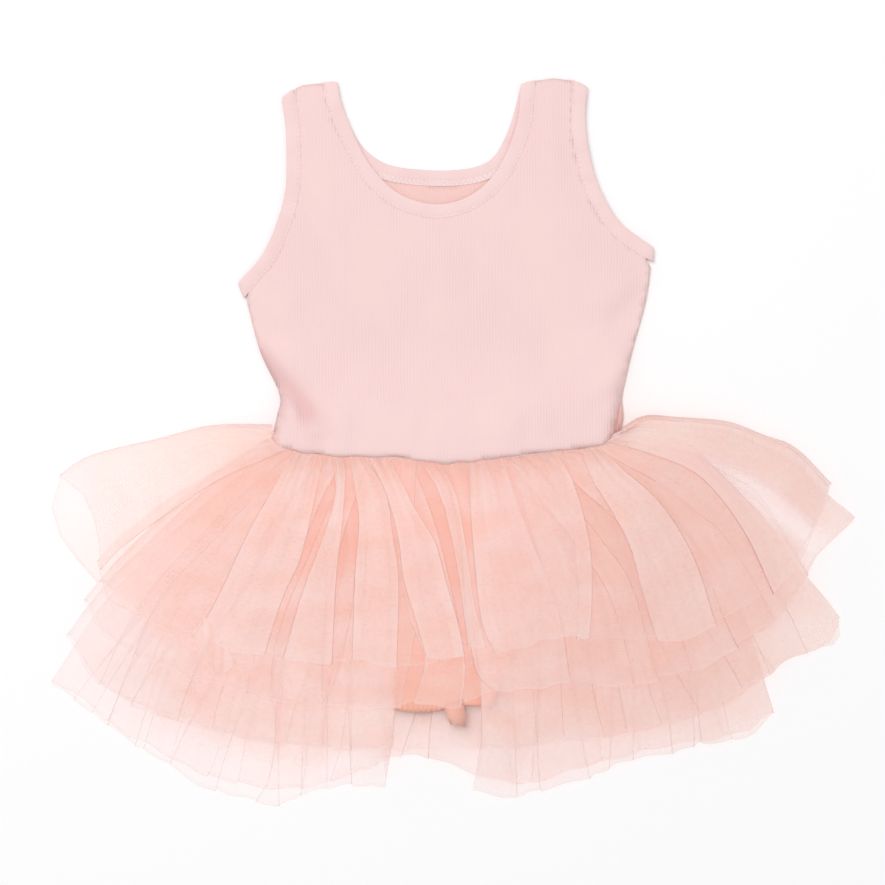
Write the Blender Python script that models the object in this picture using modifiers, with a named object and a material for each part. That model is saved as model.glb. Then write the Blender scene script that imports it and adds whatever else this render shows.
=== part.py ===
"""A toddler's ballet tutu, laid flat on its back: a sleeveless rib-knit leotard with a bound neck and
armholes, and a gathered tulle skirt of four tiers, each tier one pleated tube sewn on at the waist.

+X is the left of the garment as worn, +Y is towards the neck, +Z is up, and the floor is z = 0.
All sizes below are in millimetres, and MM turns them into metres.
"""

import math

import bmesh
import bpy
from mathutils import Vector
from mathutils.geometry import delaunay_2d_cdt

MM = 0.001
CLOTH = 1.1  # wall of every piece
SEAM_GAP = 0.3  # between two pieces that are sewn together, and between a piece and what it lies on
BINDING_WIDTH = 8.5
LEG_BINDING_WIDTH = 6.0

# Heights of the cloth's middle.
FLOOR_LEVEL = CLOTH / 2
FRONT_LEVEL = FLOOR_LEVEL + CLOTH + 0.6
CROWN = 1.2  # how much the middle of the front bodice stands up
CROWN_REACH = 30.0
WAIST_RISE_REACH = 55.0  # how far above the waist the front bodice starts to climb on to the gathers
SIDE_ROUND = 11.0

# The leotard's edges, from the wearer's right (-X) to left (+X).
STRAP_LEFT_TOP = [(-96.9, 216.9), (-92.0, 219.4), (-79.8, 220.6)]
STRAP_RIGHT_TOP = [(51.2, 222.1), (62.0, 223.6), (72.8, 222.3)]
FRONT_NECK = [
    (-70.8, 221.1), (-68.0, 208.0), (-59.6, 187.5), (-50.0, 170.3), (-36.0, 155.6), (-20.0, 148.4),
    (-4.0, 147.3), (12.0, 153.0), (25.0, 164.4), (34.5, 181.0), (40.5, 200.0), (42.2, 219.6),
]
BACK_NECK = [
    (-70.8, 221.1), (-68.0, 208.0), (-60.5, 190.0), (-51.0, 178.0), (-37.0, 170.6), (-13.2, 167.8),
    (8.0, 168.6), (21.8, 173.0), (30.0, 182.5), (37.0, 199.0), (42.2, 219.6),
]
ARMHOLE_LEFT = [
    (-104.4, 211.3), (-102.0, 193.0), (-101.6, 172.0), (-102.2, 157.0), (-106.5, 139.0),
    (-116.0, 117.0), (-130.6, 99.6),
]
ARMHOLE_RIGHT = [
    (82.6, 218.4), (81.4, 200.0), (83.3, 182.0), (87.6, 164.2), (93.8, 149.8), (104.1, 134.6),
    (122.4, 121.2),
]
NECK_STITCH_ENDS = ((-79.3, 220.8), (50.7, 222.3))  # where the bindings' stitch lines end
LEFT_STITCH_ENDS = ((-97.4, 216.8), (-127.2, 90.6))
RIGHT_STITCH_ENDS = ((73.4, 222.6), (122.4, 112.4))
SIDE_LEFT = [(-126.9, 89.6), (-117.9, 56.6), (-105.8, 30.5), (-107.2, 18.0), (-110.6, 3.2)]
SIDE_RIGHT = [(122.3, 111.6), (118.6, 87.0), (110.6, 58.0), (104.4, 31.0), (99.8, 8.0)]
WAIST = [
    (-110.6, 3.2), (-104.0, -1.4), (-96.0, -4.0), (-84.0, -5.6), (-62.0, -7.6), (-34.0, -7.4), (-8.0, -11.6),
    (18.0, -9.6), (40.0, -6.4), (62.0, -3.8), (82.0, -2.0), (92.0, 1.0), (99.8, 8.0),
]

# The tulle skirt: each tier's side folds, hem and pleats. Tier 1 is the shortest and lies outermost.
TULLE_PLEAT = 2.4  # height of a pleat from its valley
PLEAT_GROWS_OVER = 54.0
WAIST_GAP = 1.3
WAIST_LEFT_END, WAIST_RIGHT_END = (-113.4, 4.4), (104.6, 7.2)  # of tier 1
WAIST_MIDDLE = (-108.0, 97.0)  # between these tier 1 follows the seam
WAIST_NARROWS = 3.0  # how much sooner each next tier leaves the seam, at each end
NESTING_LEFT, NESTING_RIGHT = (2.0, -3.5), (-0.8, -3.6)  # from one tier's end at the waist to the next one's
FOLD_BULGE = 3.0
BACK_STEP = 1.6
BRIEF_STEP = 1.8
FRONT_STEP = 2.2
BACK_PLEATS = 15
HIP_ROWS = [0.0, 14.0, 45.0, 84.0]  # from the waist, down each tier
HEM_CLEAR, HEM_FALL = 3.0, 18.0  # past a shorter tier's hem, a longer one keeps level, then is down
FRONT_CLEAR, FRONT_FALL = 4.0, 44.0  # the same for what the front halves lie on
BRIEF_CLEAR, BRIEF_FALL = 20.0, 30.0  # and for the brief under them
CROWDED = 0.06  # how far the back's lines move towards the side folds, as a share of its width
PLEAT_UNEVEN = 0.35  # how much pleats differ in width
PARTING_STARTS, PARTING_FADES = 2.6, 2.0  # how the parting's depth falls off beside its middle
TIERS = [
    {
        "name": "tier_1",
        "length": 127.0,
        "left": [(-146.0, 8.7), (-183.0, 1.6), (-222.0, -8.0), (-241.0, -20.0)],
        "right": [(118.0, 14.6), (137.0, 13.6), (167.5, 11.0), (190.5, 2.5), (208.5, -4.5), (230.0, -26.0)],
        "front_hem": [
            (-226.5, -28.4), (-217.0, -52.0), (-209.5, -92.0), (-185.0, -105.5), (-156.0, -118.0),
            (-106.0, -130.5), (-61.0, -132.5), (-10.0, -131.0), (26.0, -124.0), (68.0, -119.5),
            (100.0, -121.0), (132.0, -120.0), (166.0, -108.0), (200.0, -86.0), (220.0, -56.0),
        ],
        "back_hem": [
            (-247.0, -33.0), (-247.0, -44.0), (-230.0, -73.0), (-208.0, -92.0), (-156.0, -120.0),
            (-61.0, -134.0), (20.0, -133.0), (100.0, -125.0), (166.0, -108.0), (206.0, -80.0), (223.0, -52.0),
        ],
        "pleats": 19,
        "parting": 0.0,
    },
    {
        "name": "tier_2",
        "length": 152.0,
        "left": [(-150.0, -24.0), (-190.0, -60.0), (-211.0, -82.0), (-223.0, -97.0)],
        "right": [
            (117.0, 9.6), (137.0, 8.6), (167.0, 5.6), (189.0, -2.5), (206.0, -9.8), (229.0, -31.0),
            (246.6, -46.0),
        ],
        "front_hem": [
            (-214.0, -114.0), (-190.0, -131.0), (-150.0, -146.0), (-106.0, -157.0), (-60.0, -160.5),
            (-10.0, -159.5), (28.0, -151.0), (71.0, -147.0), (110.0, -147.0), (150.0, -137.0),
            (190.0, -113.0), (214.0, -84.0), (232.0, -60.0),
        ],
        "back_hem": [
            (-212.0, -116.0), (-186.0, -133.0), (-106.0, -158.0), (-60.0, -161.0), (10.0, -160.0),
            (71.0, -155.0), (150.0, -138.0), (196.0, -110.0), (217.0, -84.0), (223.0, -73.0), (239.0, -54.0),
        ],
        "pleats": 17,
        "parting": 0.0,
    },
    {
        "name": "tier_3",
        "length": 178.0,
        "left": [(-148.0, -29.0), (-186.0, -64.0), (-212.0, -90.0), (-233.6, -118.0)],
        "right": [
            (137.0, 1.0), (157.5, -16.0), (174.6, -31.4), (191.7, -48.5), (208.8, -72.4), (237.0, -107.0),
        ],
        "front_hem": [
            (-224.0, -137.0), (-204.0, -156.0), (-160.0, -172.0), (-106.0, -183.5), (-60.0, -186.0),
            (-10.0, -186.5), (28.0, -184.0), (71.0, -181.0), (110.0, -177.0), (150.0, -166.0),
            (183.0, -148.0), (206.0, -132.0), (235.0, -123.0),
        ],
        "back_hem": [
            (-224.0, -138.0), (-204.0, -157.0), (-160.0, -174.0), (-106.0, -185.0), (-10.0, -188.0),
            (71.0, -184.0), (150.0, -168.0), (206.0, -134.0), (232.0, -124.0),
        ],
        "pleats": 16,
        "parting": 0.14,
    },
    {
        "name": "tier_4",
        "length": 203.0,
        "left": [(-146.0, -34.0), (-184.0, -69.0), (-212.0, -97.0), (-245.6, -147.0)],
        "right": [(130.0, -18.0), (152.0, -50.0), (172.0, -92.0), (187.0, -135.0), (196.4, -166.0)],
        "front_hem": [
            (-232.0, -156.0), (-212.0, -173.5), (-179.3, -194.0), (-160.0, -208.0), (-114.0, -226.5),
            (-83.0, -214.5), (-46.0, -210.5), (-10.0, -210.5), (20.0, -214.5), (50.0, -215.5),
            (78.0, -206.5), (111.8, -195.0), (140.0, -188.0), (181.9, -178.7),
        ],
        "back_hem": [
            (-232.0, -155.0), (-212.0, -171.5), (-179.3, -192.0), (-156.0, -203.0), (-110.0, -213.0),
            (-60.0, -204.0), (-34.0, -191.0), (-12.0, -194.5), (12.0, -203.0), (50.0, -209.0),
            (90.0, -196.0), (140.0, -186.0), (180.0, -177.0),
        ],
        "pleats": 16,
        "parting": 0.20,
    },
]
PARTING_X, PARTING_HALF = -12.0, 24.0  # where the lower tiers' front pleats part and show the brief

# The brief.
BRIEF_LEG_LEFT = [(-94.0, -80.0), (-74.0, -92.0), (-56.0, -112.0), (-44.0, -138.0), (-38.0, -159.0)]
BRIEF_LEG_RIGHT = [(88.0, -78.0), (68.0, -90.0), (48.0, -108.0), (33.0, -136.0), (24.0, -157.0)]
BRIEF_WAIST_STEPS = [(-94.0, -13.5), (-50.0, -14.5), (-6.0, -16.5), (40.0, -14.5), (88.0, -9.5)]
TAB_LEFT, TAB_RIGHT, TAB_TOP, TAB_TIP = -5.0, 8.0, -163.0, -172.5
TAB_SLANT = 2.0  # how much higher its right edge lies
TAB_GAP = 0.7  # between its two layers

COLOURS = {
    "rib_knit": (0.89, 0.67, 0.65),
    "binding": (0.90, 0.68, 0.65),
    "tulle": (0.93, 0.62, 0.54),
    "brief_knit": (0.90, 0.50, 0.41),
}


def clear_scene():
    for thing in list(bpy.data.objects):
        bpy.data.objects.remove(thing, do_unlink=True)


def new_collection(name):
    made = bpy.data.collections.new(name)
    bpy.context.scene.collection.children.link(made)
    return made


def material(slot):
    made = bpy.data.materials.get(slot) or bpy.data.materials.new(slot)
    made.use_nodes = True
    shader = made.node_tree.nodes["Principled BSDF"]
    shader.inputs["Base Color"].default_value = (*COLOURS[slot], 1.0)
    shader.inputs["Roughness"].default_value = 0.9
    shader.inputs["Metallic"].default_value = 0.0
    return made


def smoothstep(value):
    clamped = min(max(value, 0.0), 1.0)
    return clamped * clamped * (3.0 - 2.0 * clamped)


def through(points, step):
    """Points about step apart on a smooth curve through the given ones."""
    points = [Vector(p) for p in points]
    ends = [2 * points[0] - points[1]] + points + [2 * points[-1] - points[-2]]
    found = []
    for before, start, end, after in zip(ends, ends[1:], ends[2:], ends[3:]):
        pieces = max(1, round((end - start).length / step))
        for i in range(pieces):
            t = i / pieces
            found.append(
                0.5 * (2 * start + (end - before) * t
                       + (2 * before - 5 * start + 4 * end - after) * t * t
                       + (3 * start - before - 3 * end + after) * t ** 3)
            )
    return found + [points[-1]]


def spread(points, count):
    """count + 1 points at equal lengths along a chain of points."""
    lengths = [0.0]
    for a, b in zip(points, points[1:]):
        lengths.append(lengths[-1] + (b - a).length)
    found, at = [], 0
    for i in range(count + 1):
        wanted = lengths[-1] * i / count
        while at < len(points) - 2 and lengths[at + 1] < wanted:
            at += 1
        share = (wanted - lengths[at]) / (lengths[at + 1] - lengths[at])
        found.append(points[at].lerp(points[at + 1], share))
    return found


def at_share(points, share):
    """The point at this share, 0 to 1, of a chain whose points are evenly spread."""
    place = min(max(share, 0.0), 1.0) * (len(points) - 1)
    i = min(int(place), len(points) - 2)
    return points[i].lerp(points[i + 1], place - i)


def beside(points, distance):
    """The chain moved sideways, to its left for a distance above 0."""
    moved = []
    for i, point in enumerate(points):
        along = (points[min(i + 1, len(points) - 1)] - points[max(i - 1, 0)]).normalized()
        moved.append(point + distance * Vector((-along.y, along.x)))
    return moved


def distance_to(point, chain):
    nearest = 1e9
    for a, b in zip(chain, chain[1:]):
        run = b - a
        share = min(max((point - a).dot(run) / max(run.length_squared, 1e-9), 0.0), 1.0)
        nearest = min(nearest, (point - a - share * run).length)
    return nearest


def is_inside(point, outline):
    inside = False
    for a, b in zip(outline, outline[1:] + outline[:1]):
        if (a.y > point.y) != (b.y > point.y):
            if point.x < a.x + (point.y - a.y) / (b.y - a.y) * (b.x - a.x):
                inside = not inside
    return inside


def mesh_object(name, vertices, faces, slot, home):
    """A mesh object from points in millimetres."""
    mesh = bpy.data.meshes.new(name)
    mesh.from_pydata([Vector(v) * MM for v in vertices], [], faces)
    shape = bmesh.new()
    shape.from_mesh(mesh)
    bmesh.ops.recalc_face_normals(shape, faces=shape.faces)
    shape.to_mesh(mesh)
    shape.free()
    mesh.materials.append(material(slot))
    mesh.shade_smooth()
    made = bpy.data.objects.new(name, mesh)
    home.objects.link(made)
    return made


def thicken(thing):
    """Gives an open or a tubular surface its wall, half to each side."""
    wall = thing.modifiers.new("wall", "SOLIDIFY")
    wall.thickness = CLOTH * MM
    wall.offset = 0.0
    wall.use_even_offset = False
    wall.thickness_clamp = 0.0
    return thing


def flat_panel(name, outline, level, slot, home):
    """A panel that lies flat: a filled 2D outline, as thick as the cloth."""
    curve = bpy.data.curves.new(name, "CURVE")
    curve.dimensions = "2D"
    curve.fill_mode = "BOTH"
    curve.extrude = CLOTH * MM / 2
    spline = curve.splines.new("POLY")
    spline.points.add(len(outline) - 1)
    for knot, point in zip(spline.points, outline):
        knot.co = (point.x * MM, point.y * MM, 0.0, 1.0)
    spline.use_cyclic_u = True
    curve.materials.append(material(slot))
    made = bpy.data.objects.new(name, curve)
    made.location.z = level * MM
    home.objects.link(made)
    return made


def raised_panel(name, outline, height, spacing, slot, home):
    """A panel cut to an outline, whose cloth stands at height(point) above the floor."""
    lowest_x = min(p.x for p in outline)
    highest_x = max(p.x for p in outline)
    lowest_y = min(p.y for p in outline)
    highest_y = max(p.y for p in outline)
    points = list(outline)
    chain = outline + outline[:1]
    rows = int((highest_y - lowest_y) / (spacing * 0.87)) + 1
    columns = int((highest_x - lowest_x) / spacing) + 2
    for row in range(rows):
        for column in range(columns):
            x = lowest_x + (column + 0.5 * (row % 2)) * spacing
            y = lowest_y + (row + 0.5) * spacing * 0.87
            point = Vector((x, y))
            if is_inside(point, outline) and distance_to(point, chain) > 0.45 * spacing:
                points.append(point)
    edges = [(i, (i + 1) % len(outline)) for i in range(len(outline))]
    flat, _, faces, *_ = delaunay_2d_cdt(points, edges, [], 1, 1e-4)
    vertices = [(p.x, p.y, height(p)) for p in flat]
    return thicken(mesh_object(name, vertices, faces, slot, home))


def band(name, upper, lower, level, slot, home):
    """A binding round an opening that lies flat: its upper half goes out along the first chain of
    (edge, stitch line) pairs and its lower half comes back along the second, with a fold at each end."""
    low = level[0]
    high = level[1]
    rungs = [(a, b, high) for a, b in upper]
    rungs += fold_rungs(upper[-1], upper[-2], low, high)
    rungs += [(a, b, low) for a, b in reversed(lower)]
    rungs += list(reversed(fold_rungs(upper[0], upper[1], low, high)))
    vertices = []
    for a, b, z in rungs:
        vertices += [(a.x, a.y, z), (b.x, b.y, z)]
    count = len(rungs)
    faces = []
    for i in range(count):
        j = (i + 1) % count
        faces.append((2 * i, 2 * i + 1, 2 * j + 1, 2 * j))
    return thicken(mesh_object(name, vertices, faces, slot, home))


def fold_rungs(last, before, low, high):
    """The rungs round the fold at a band's end, from its upper half down."""
    outwards = ((last[0] + last[1]) - (before[0] + before[1])).normalized()
    radius = (high - low) / 2
    rungs = []
    for turn in (45, 90, 135):
        out = radius * math.sin(math.radians(turn)) * outwards
        z = (low + high) / 2 + radius * math.cos(math.radians(turn))
        rungs.append((last[0] + out, last[1] + out, z))
    return rungs


def rungs_of(edge, width, count, first=None, last=None):
    """(edge, stitch line) pairs along a smooth edge. The garment is on its left for a width above 0.
    first and last place the stitch line's ends."""
    line = spread(through(edge, 2.0), count)
    stitched = beside(line, width)
    if first:
        stitched[0] = Vector(first)
    if last:
        stitched[-1] = Vector(last)
    return list(zip(line, stitched))


def side_of(rungs, gap):
    """The panel's edge beside a binding's stitch line."""
    return [b + gap * (b - a).normalized() for a, b in rungs]


def leotard_rungs():
    """The bindings' rungs: front neck, back neck, left armhole, right armhole."""
    front = rungs_of(FRONT_NECK, -BINDING_WIDTH, 22, *NECK_STITCH_ENDS)
    back = rungs_of(BACK_NECK, -BINDING_WIDTH, 22, *NECK_STITCH_ENDS)
    left = rungs_of(ARMHOLE_LEFT, BINDING_WIDTH, 14, *LEFT_STITCH_ENDS)
    right = rungs_of(ARMHOLE_RIGHT, -BINDING_WIDTH, 14, *RIGHT_STITCH_ENDS)
    return front, back, left, right


def bodice_outline(neck, left, right):
    """The closed edge of a bodice panel, counter-clockwise from the left end of the waist."""
    waist = spread(through(WAIST, 4.0), 22)
    right_side = spread(through(SIDE_RIGHT, 4.0), 9)
    left_side = spread(through(SIDE_LEFT, 4.0), 9)
    right_strap = [Vector(p) for p in reversed(STRAP_RIGHT_TOP)]
    left_strap = [Vector(p) for p in reversed(STRAP_LEFT_TOP)]
    outline = waist[:-1]
    outline += list(reversed(right_side))[:-1]
    outline += list(reversed(side_of(right, SEAM_GAP)))[:-1]
    outline += right_strap
    outline += list(reversed(side_of(neck, SEAM_GAP)))[1:-1]
    outline += left_strap
    outline += side_of(left, SEAM_GAP)[1:]
    outline += left_side[1:-1]
    return outline


def waist_chain():
    """The line the tiers are sewn to, just below the bodice, from -X to +X."""
    return beside(spread(through(WAIST, 4.0), 60), -WAIST_GAP)


def stack_height():
    """The height of the top tier's middle at the waist."""
    return FLOOR_LEVEL + 4 * BACK_STEP + 2 * BRIEF_STEP + 3 * FRONT_STEP


def bodice_height(outline):
    """How the front bodice lies: on the back panel, a little crowned, climbing to the gathers."""
    waist = waist_chain()
    sides = [through(SIDE_LEFT, 6.0), through(SIDE_RIGHT, 6.0)]
    chain = outline + outline[:1]

    def height(point):
        from_edge = distance_to(point, chain)
        from_waist = distance_to(point, waist) - WAIST_GAP
        from_side = min(distance_to(point, side) for side in sides)
        crown = CROWN * smoothstep(from_edge / CROWN_REACH)
        climb = (1.0 - smoothstep(from_waist / WAIST_RISE_REACH)) * (stack_height() - FRONT_LEVEL)
        share = min(from_side / SIDE_ROUND, 1.0)
        rounded = math.sqrt(max(0.0, 1.0 - (1.0 - share) ** 2))
        return FRONT_LEVEL + crown + climb * rounded

    return height


class Tier:
    """The plan of one tier: a fan of cloth between the waist, two side folds and a hem."""

    def __init__(self, index, sizes):
        self.index = index
        self.sizes = sizes
        left_start = Vector(WAIST_LEFT_END) + index * Vector(NESTING_LEFT)
        right_start = Vector(WAIST_RIGHT_END) + index * Vector(NESTING_RIGHT)
        first, last = WAIST_MIDDLE[0] + WAIST_NARROWS * index, WAIST_MIDDLE[1] - WAIST_NARROWS * index
        middle = [p for p in waist_chain()[::3] if first < p.x < last]
        self.waist = spread(through([left_start] + middle + [right_start], 4.0), 60)
        left = [Vector(p) for p in sizes["left"]]
        right = [Vector(p) for p in sizes["right"]]
        self.left = spread(through([left_start] + left, 4.0), 40)
        self.right = spread(through([right_start] + right, 4.0), 40)
        self.hems = {}
        for half in ("front", "back"):
            inner = [Vector(p) for p in sizes[half + "_hem"]]
            self.hems[half] = spread(through([self.left[-1]] + inner + [self.right[-1]], 4.0), 120)
        self.outlines = {}
        for half, hem in self.hems.items():
            self.outlines[half] = self.waist + self.right[1:] + hem[::-1][1:] + self.left[::-1][1:-1]

    def reach(self, half, across):
        """The share of its length that the tier reaches: less where its front pleats part."""
        if half == "back":
            return 1.0
        off = abs(at_share(self.hems[half], across).x - PARTING_X) / PARTING_HALF
        return 1.0 - self.sizes["parting"] * smoothstep(PARTING_STARTS - PARTING_FADES * off)

    def place(self, half, across, down):
        """The plan point at a share across from -X to +X, and a share down from waist to hem."""
        hem = self.hems[half]
        straight = at_share(self.waist, across).lerp(at_share(hem, across), down)
        sides = at_share(self.left, down).lerp(at_share(self.right, down), across)
        corners_top = self.waist[0].lerp(self.waist[-1], across)
        corners_hem = hem[0].lerp(hem[-1], across)
        return straight + sides - corners_top.lerp(corners_hem, down)

    def leaves(self, shorter, half, across):
        """The share down at which this line of cloth comes out from over a shorter tier."""
        low, high = 0.3, 1.0
        for _ in range(9):
            middle = (low + high) / 2
            if is_inside(self.place(half, across, middle), shorter.outlines[half]):
                low = middle
            else:
                high = middle
        return high

    def rows(self, tiers, half, across):
        """The shares down at which the rings lie: near the waist, just past each shorter tier's hem,
        and at the hem."""
        length = (self.place(half, across, 1.0) - self.place(half, across, 0.0)).length
        found = [row / length for row in HIP_ROWS]
        for shorter in tiers[:self.index]:
            found.append(max(self.leaves(shorter, half, across) + HEM_CLEAR / length, found[-1] + 0.02))
        found.append(self.reach(half, across))
        for i in range(len(found) - 2, 0, -1):
            found[i] = min(found[i], found[i + 1] - 0.02)
        return found

    def cover(self, half, point, near, far):
        """1 over half of the tier and near beyond it, falling to 0 at far beyond it."""
        outline = self.outlines[half]
        if is_inside(point, outline):
            return 1.0
        away = distance_to(point, outline + outline[:1])
        return 1.0 - smoothstep((away - near) / (far - near))


def pleat_height(from_waist):
    return TULLE_PLEAT * min(from_waist / PLEAT_GROWS_OVER, 1.0)


def back_height(tiers, index, point):
    """The middle of a tier's back half: it lies on the shorter tiers' backs, and on the floor past them."""
    return FLOOR_LEVEL + BACK_STEP * sum(
        t.cover("back", point, HEM_CLEAR, HEM_FALL) for t in tiers[:index]
    )


def front_height(tiers, index, brief, pleat, point):
    """The middle of a tier's front half at its pleats' valleys, on all that lies under it."""
    backs = sum(t.cover("back", point, FRONT_CLEAR, FRONT_FALL) for t in tiers)
    if is_inside(point, brief):
        over_brief = 1.0
    else:
        away = distance_to(point, brief + brief[:1])
        over_brief = 1.0 - smoothstep((away - BRIEF_CLEAR) / BRIEF_FALL)
    backs += (len(tiers) - backs) * over_brief
    height = FLOOR_LEVEL + BACK_STEP * backs + 2 * BRIEF_STEP * over_brief
    fronts = sum(t.cover("front", point, FRONT_CLEAR, FRONT_FALL) for t in tiers[index + 1:])
    return height + (FRONT_STEP + pleat) * fronts


def pleat_lines(count):
    """The shares across at which pleats fold, unevenly spaced: valleys at even places, peaks at odd."""
    weights = [1.0 + PLEAT_UNEVEN * math.sin(2.1 * i + 0.7 * count) for i in range(2 * count)]
    total = sum(weights)
    lines = [0.0]
    for weight in weights:
        lines.append(lines[-1] + weight / total)
    return lines[:-1] + [1.0]


def crowded_ends(share):
    """Moves shares of a width towards its ends, where the waist curves most."""
    return share - CROWDED * math.sin(2 * math.pi * share)


def tier_object(tiers, index, brief, home):
    """A tier as one tube, pleated at the front, flat at the back, open at the waist and the hem."""
    tier = tiers[index]
    front = [(across, tier.rows(tiers, "front", across)) for across in pleat_lines(tier.sizes["pleats"])]
    shares = [crowded_ends(i / BACK_PLEATS) for i in range(BACK_PLEATS, -1, -1)]
    back = [(across, tier.rows(tiers, "back", across)) for across in shares]
    rings = []
    for row in range(len(front[0][1])):
        ring = []
        for i, (across, rows) in enumerate(front):
            point = tier.place("front", across, rows[row])
            pleat = pleat_height(rows[row] * tier.sizes["length"])
            height = front_height(tiers, index, brief, pleat, point)
            ring.append((point.x, point.y, height + (i % 2) * pleat))
        ring += side_fold(tiers, tier, front[-1][1][row], ring[-1], tier.right, 1)
        for across, rows in back:
            point = tier.place("back", across, rows[row])
            ring.append((point.x, point.y, back_height(tiers, index, point)))
        ring += side_fold(tiers, tier, front[0][1][row], ring[0], tier.left, -1)[::-1]
        rings.append(ring)
    around = len(rings[0])
    vertices = [point for ring in rings for point in ring]
    faces = []
    for first in range(0, (len(rings) - 1) * around, around):
        for i in range(around):
            j = (i + 1) % around
            faces.append((first + i, first + j, first + around + j, first + around + i))
    return thicken(mesh_object(tier.sizes["name"], vertices, faces, "tulle", home))


def side_fold(tiers, tier, down, top, fold, side):
    """The points round a side fold, from the front half down to the back half."""
    along = at_share(fold, down + 0.03) - at_share(fold, down - 0.03)
    outwards = side * Vector((-along.y, along.x)).normalized()
    edge = Vector(top[:2])
    low = back_height(tiers, tier.index, edge)
    middle, half = (top[2] + low) / 2, (top[2] - low) / 2
    bulge = min(half, FOLD_BULGE)
    found = []
    for turn in (36, 72, 108, 144):
        out = bulge * math.sin(math.radians(turn)) * outwards
        found.append((edge.x + out.x, edge.y + out.y, middle + half * math.cos(math.radians(turn))))
    return found


def brief_outline():
    """The closed edge of the brief's panels, inside the leg bindings."""
    left = [Vector(p) for p in BRIEF_LEG_LEFT]
    right = [Vector(p) for p in BRIEF_LEG_RIGHT]
    left_rungs = rungs_of(left, LEG_BINDING_WIDTH, 9)
    right_rungs = rungs_of(right, -LEG_BINDING_WIDTH, 9)
    left_edge = side_of(left_rungs, SEAM_GAP)
    right_edge = side_of(right_rungs, SEAM_GAP)
    waist = [Vector(p) for p in BRIEF_WAIST_STEPS]
    outline = waist[::-1] + left_edge + right_edge[::-1]
    return outline[::-1], left_rungs, right_rungs


def crotch_tab(height, home):
    """The folded end of the crotch: a short strip turned back on itself."""
    vertices = []
    high = height + CLOTH + TAB_GAP
    middle = (height + high) / 2
    end = TAB_TIP - (high - height) / 2
    for y, z in [(TAB_TOP, height), (TAB_TIP, height), (end, middle), (TAB_TIP, high), (TAB_TOP, high)]:
        vertices += [(TAB_LEFT, y, z), (TAB_RIGHT, y + TAB_SLANT, z)]
    faces = [(2 * i, 2 * i + 1, 2 * i + 3, 2 * i + 2) for i in range(len(vertices) // 2 - 1)]
    return thicken(mesh_object("crotch_tab", vertices, faces, "brief_knit", home))


def main():
    clear_scene()
    home = new_collection("ballet_tutu")
    front_neck, back_neck, left_arm, right_arm = leotard_rungs()

    front = bodice_outline(front_neck, left_arm, right_arm)
    raised_panel("bodice_front", front, bodice_height(front), 15.0, "rib_knit", home)
    back = bodice_outline(back_neck, left_arm, right_arm)
    flat_panel("bodice_back", back, FLOOR_LEVEL, "rib_knit", home)

    levels = (FLOOR_LEVEL, FRONT_LEVEL)
    band("neck_binding", front_neck, back_neck, levels, "binding", home)
    band("armhole_binding_left", left_arm, left_arm, levels, "binding", home)
    band("armhole_binding_right", right_arm, right_arm, levels, "binding", home)

    tiers = [Tier(i, sizes) for i, sizes in enumerate(TIERS)]
    brief, left_leg, right_leg = brief_outline()
    for index in range(len(tiers)):
        tier_object(tiers, index, brief, home)

    brief_levels = [FLOOR_LEVEL + len(tiers) * BACK_STEP + BRIEF_STEP * i for i in (0, 1)]
    flat_panel("brief_back", brief, brief_levels[0], "brief_knit", home)
    flat_panel("brief_front", brief, brief_levels[1], "brief_knit", home)
    band("leg_binding_left", left_leg, left_leg, brief_levels, "brief_knit", home)
    band("leg_binding_right", right_leg, right_leg, brief_levels, "brief_knit", home)
    crotch_tab(brief_levels[0], home)


main()
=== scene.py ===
"""Looks of a toddler's ballet tutu that lies flat on its back: a rib-knit leotard with bound edges, and a
skirt of four gathered tulle tiers. Every plan size below is in millimetres in the garment's own frame, whose
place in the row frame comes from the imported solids' box."""

import math

import bmesh
import bpy
import numpy as np
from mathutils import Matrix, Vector
from mathutils.geometry import delaunay_2d_cdt


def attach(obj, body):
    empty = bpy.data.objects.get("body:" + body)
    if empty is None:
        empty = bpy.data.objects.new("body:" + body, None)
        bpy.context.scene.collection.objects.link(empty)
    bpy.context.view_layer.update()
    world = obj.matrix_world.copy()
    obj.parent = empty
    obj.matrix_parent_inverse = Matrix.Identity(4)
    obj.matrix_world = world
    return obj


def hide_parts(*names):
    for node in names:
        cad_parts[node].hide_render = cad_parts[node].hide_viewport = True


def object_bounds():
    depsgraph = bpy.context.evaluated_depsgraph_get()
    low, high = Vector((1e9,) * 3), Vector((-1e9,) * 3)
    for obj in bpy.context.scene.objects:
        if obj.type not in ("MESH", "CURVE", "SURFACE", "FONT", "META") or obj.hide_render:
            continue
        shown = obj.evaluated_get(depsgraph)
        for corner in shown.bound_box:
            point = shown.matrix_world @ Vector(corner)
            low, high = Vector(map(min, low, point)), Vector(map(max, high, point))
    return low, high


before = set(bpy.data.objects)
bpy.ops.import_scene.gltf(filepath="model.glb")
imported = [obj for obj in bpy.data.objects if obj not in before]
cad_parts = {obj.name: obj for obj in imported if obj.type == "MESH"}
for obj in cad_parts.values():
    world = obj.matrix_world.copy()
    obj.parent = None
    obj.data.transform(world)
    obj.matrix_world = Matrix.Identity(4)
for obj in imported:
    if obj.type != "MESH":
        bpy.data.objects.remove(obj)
CAD_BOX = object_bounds()

MM = 0.001
CLOTH = 1.1
BINDING_WIDTH = 8.5
FLOOR_LEVEL = CLOTH / 2
FRONT_LEVEL = FLOOR_LEVEL + CLOTH + 0.6
BACK_STEP, BRIEF_STEP, FRONT_STEP = 1.6, 1.8, 2.2  # how much each layer lifts the ones above it
BOX_MIDDLE = (0.22, -0.80)  # of the garment's own frame, in plan
SHIFT = np.array([  # from the garment's own frame to the row frame
    (CAD_BOX[0].x + CAD_BOX[1].x) / 2 / MM - BOX_MIDDLE[0],
    (CAD_BOX[0].y + CAD_BOX[1].y) / 2 / MM - BOX_MIDDLE[1],
    CAD_BOX[0].z / MM,
])

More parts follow.
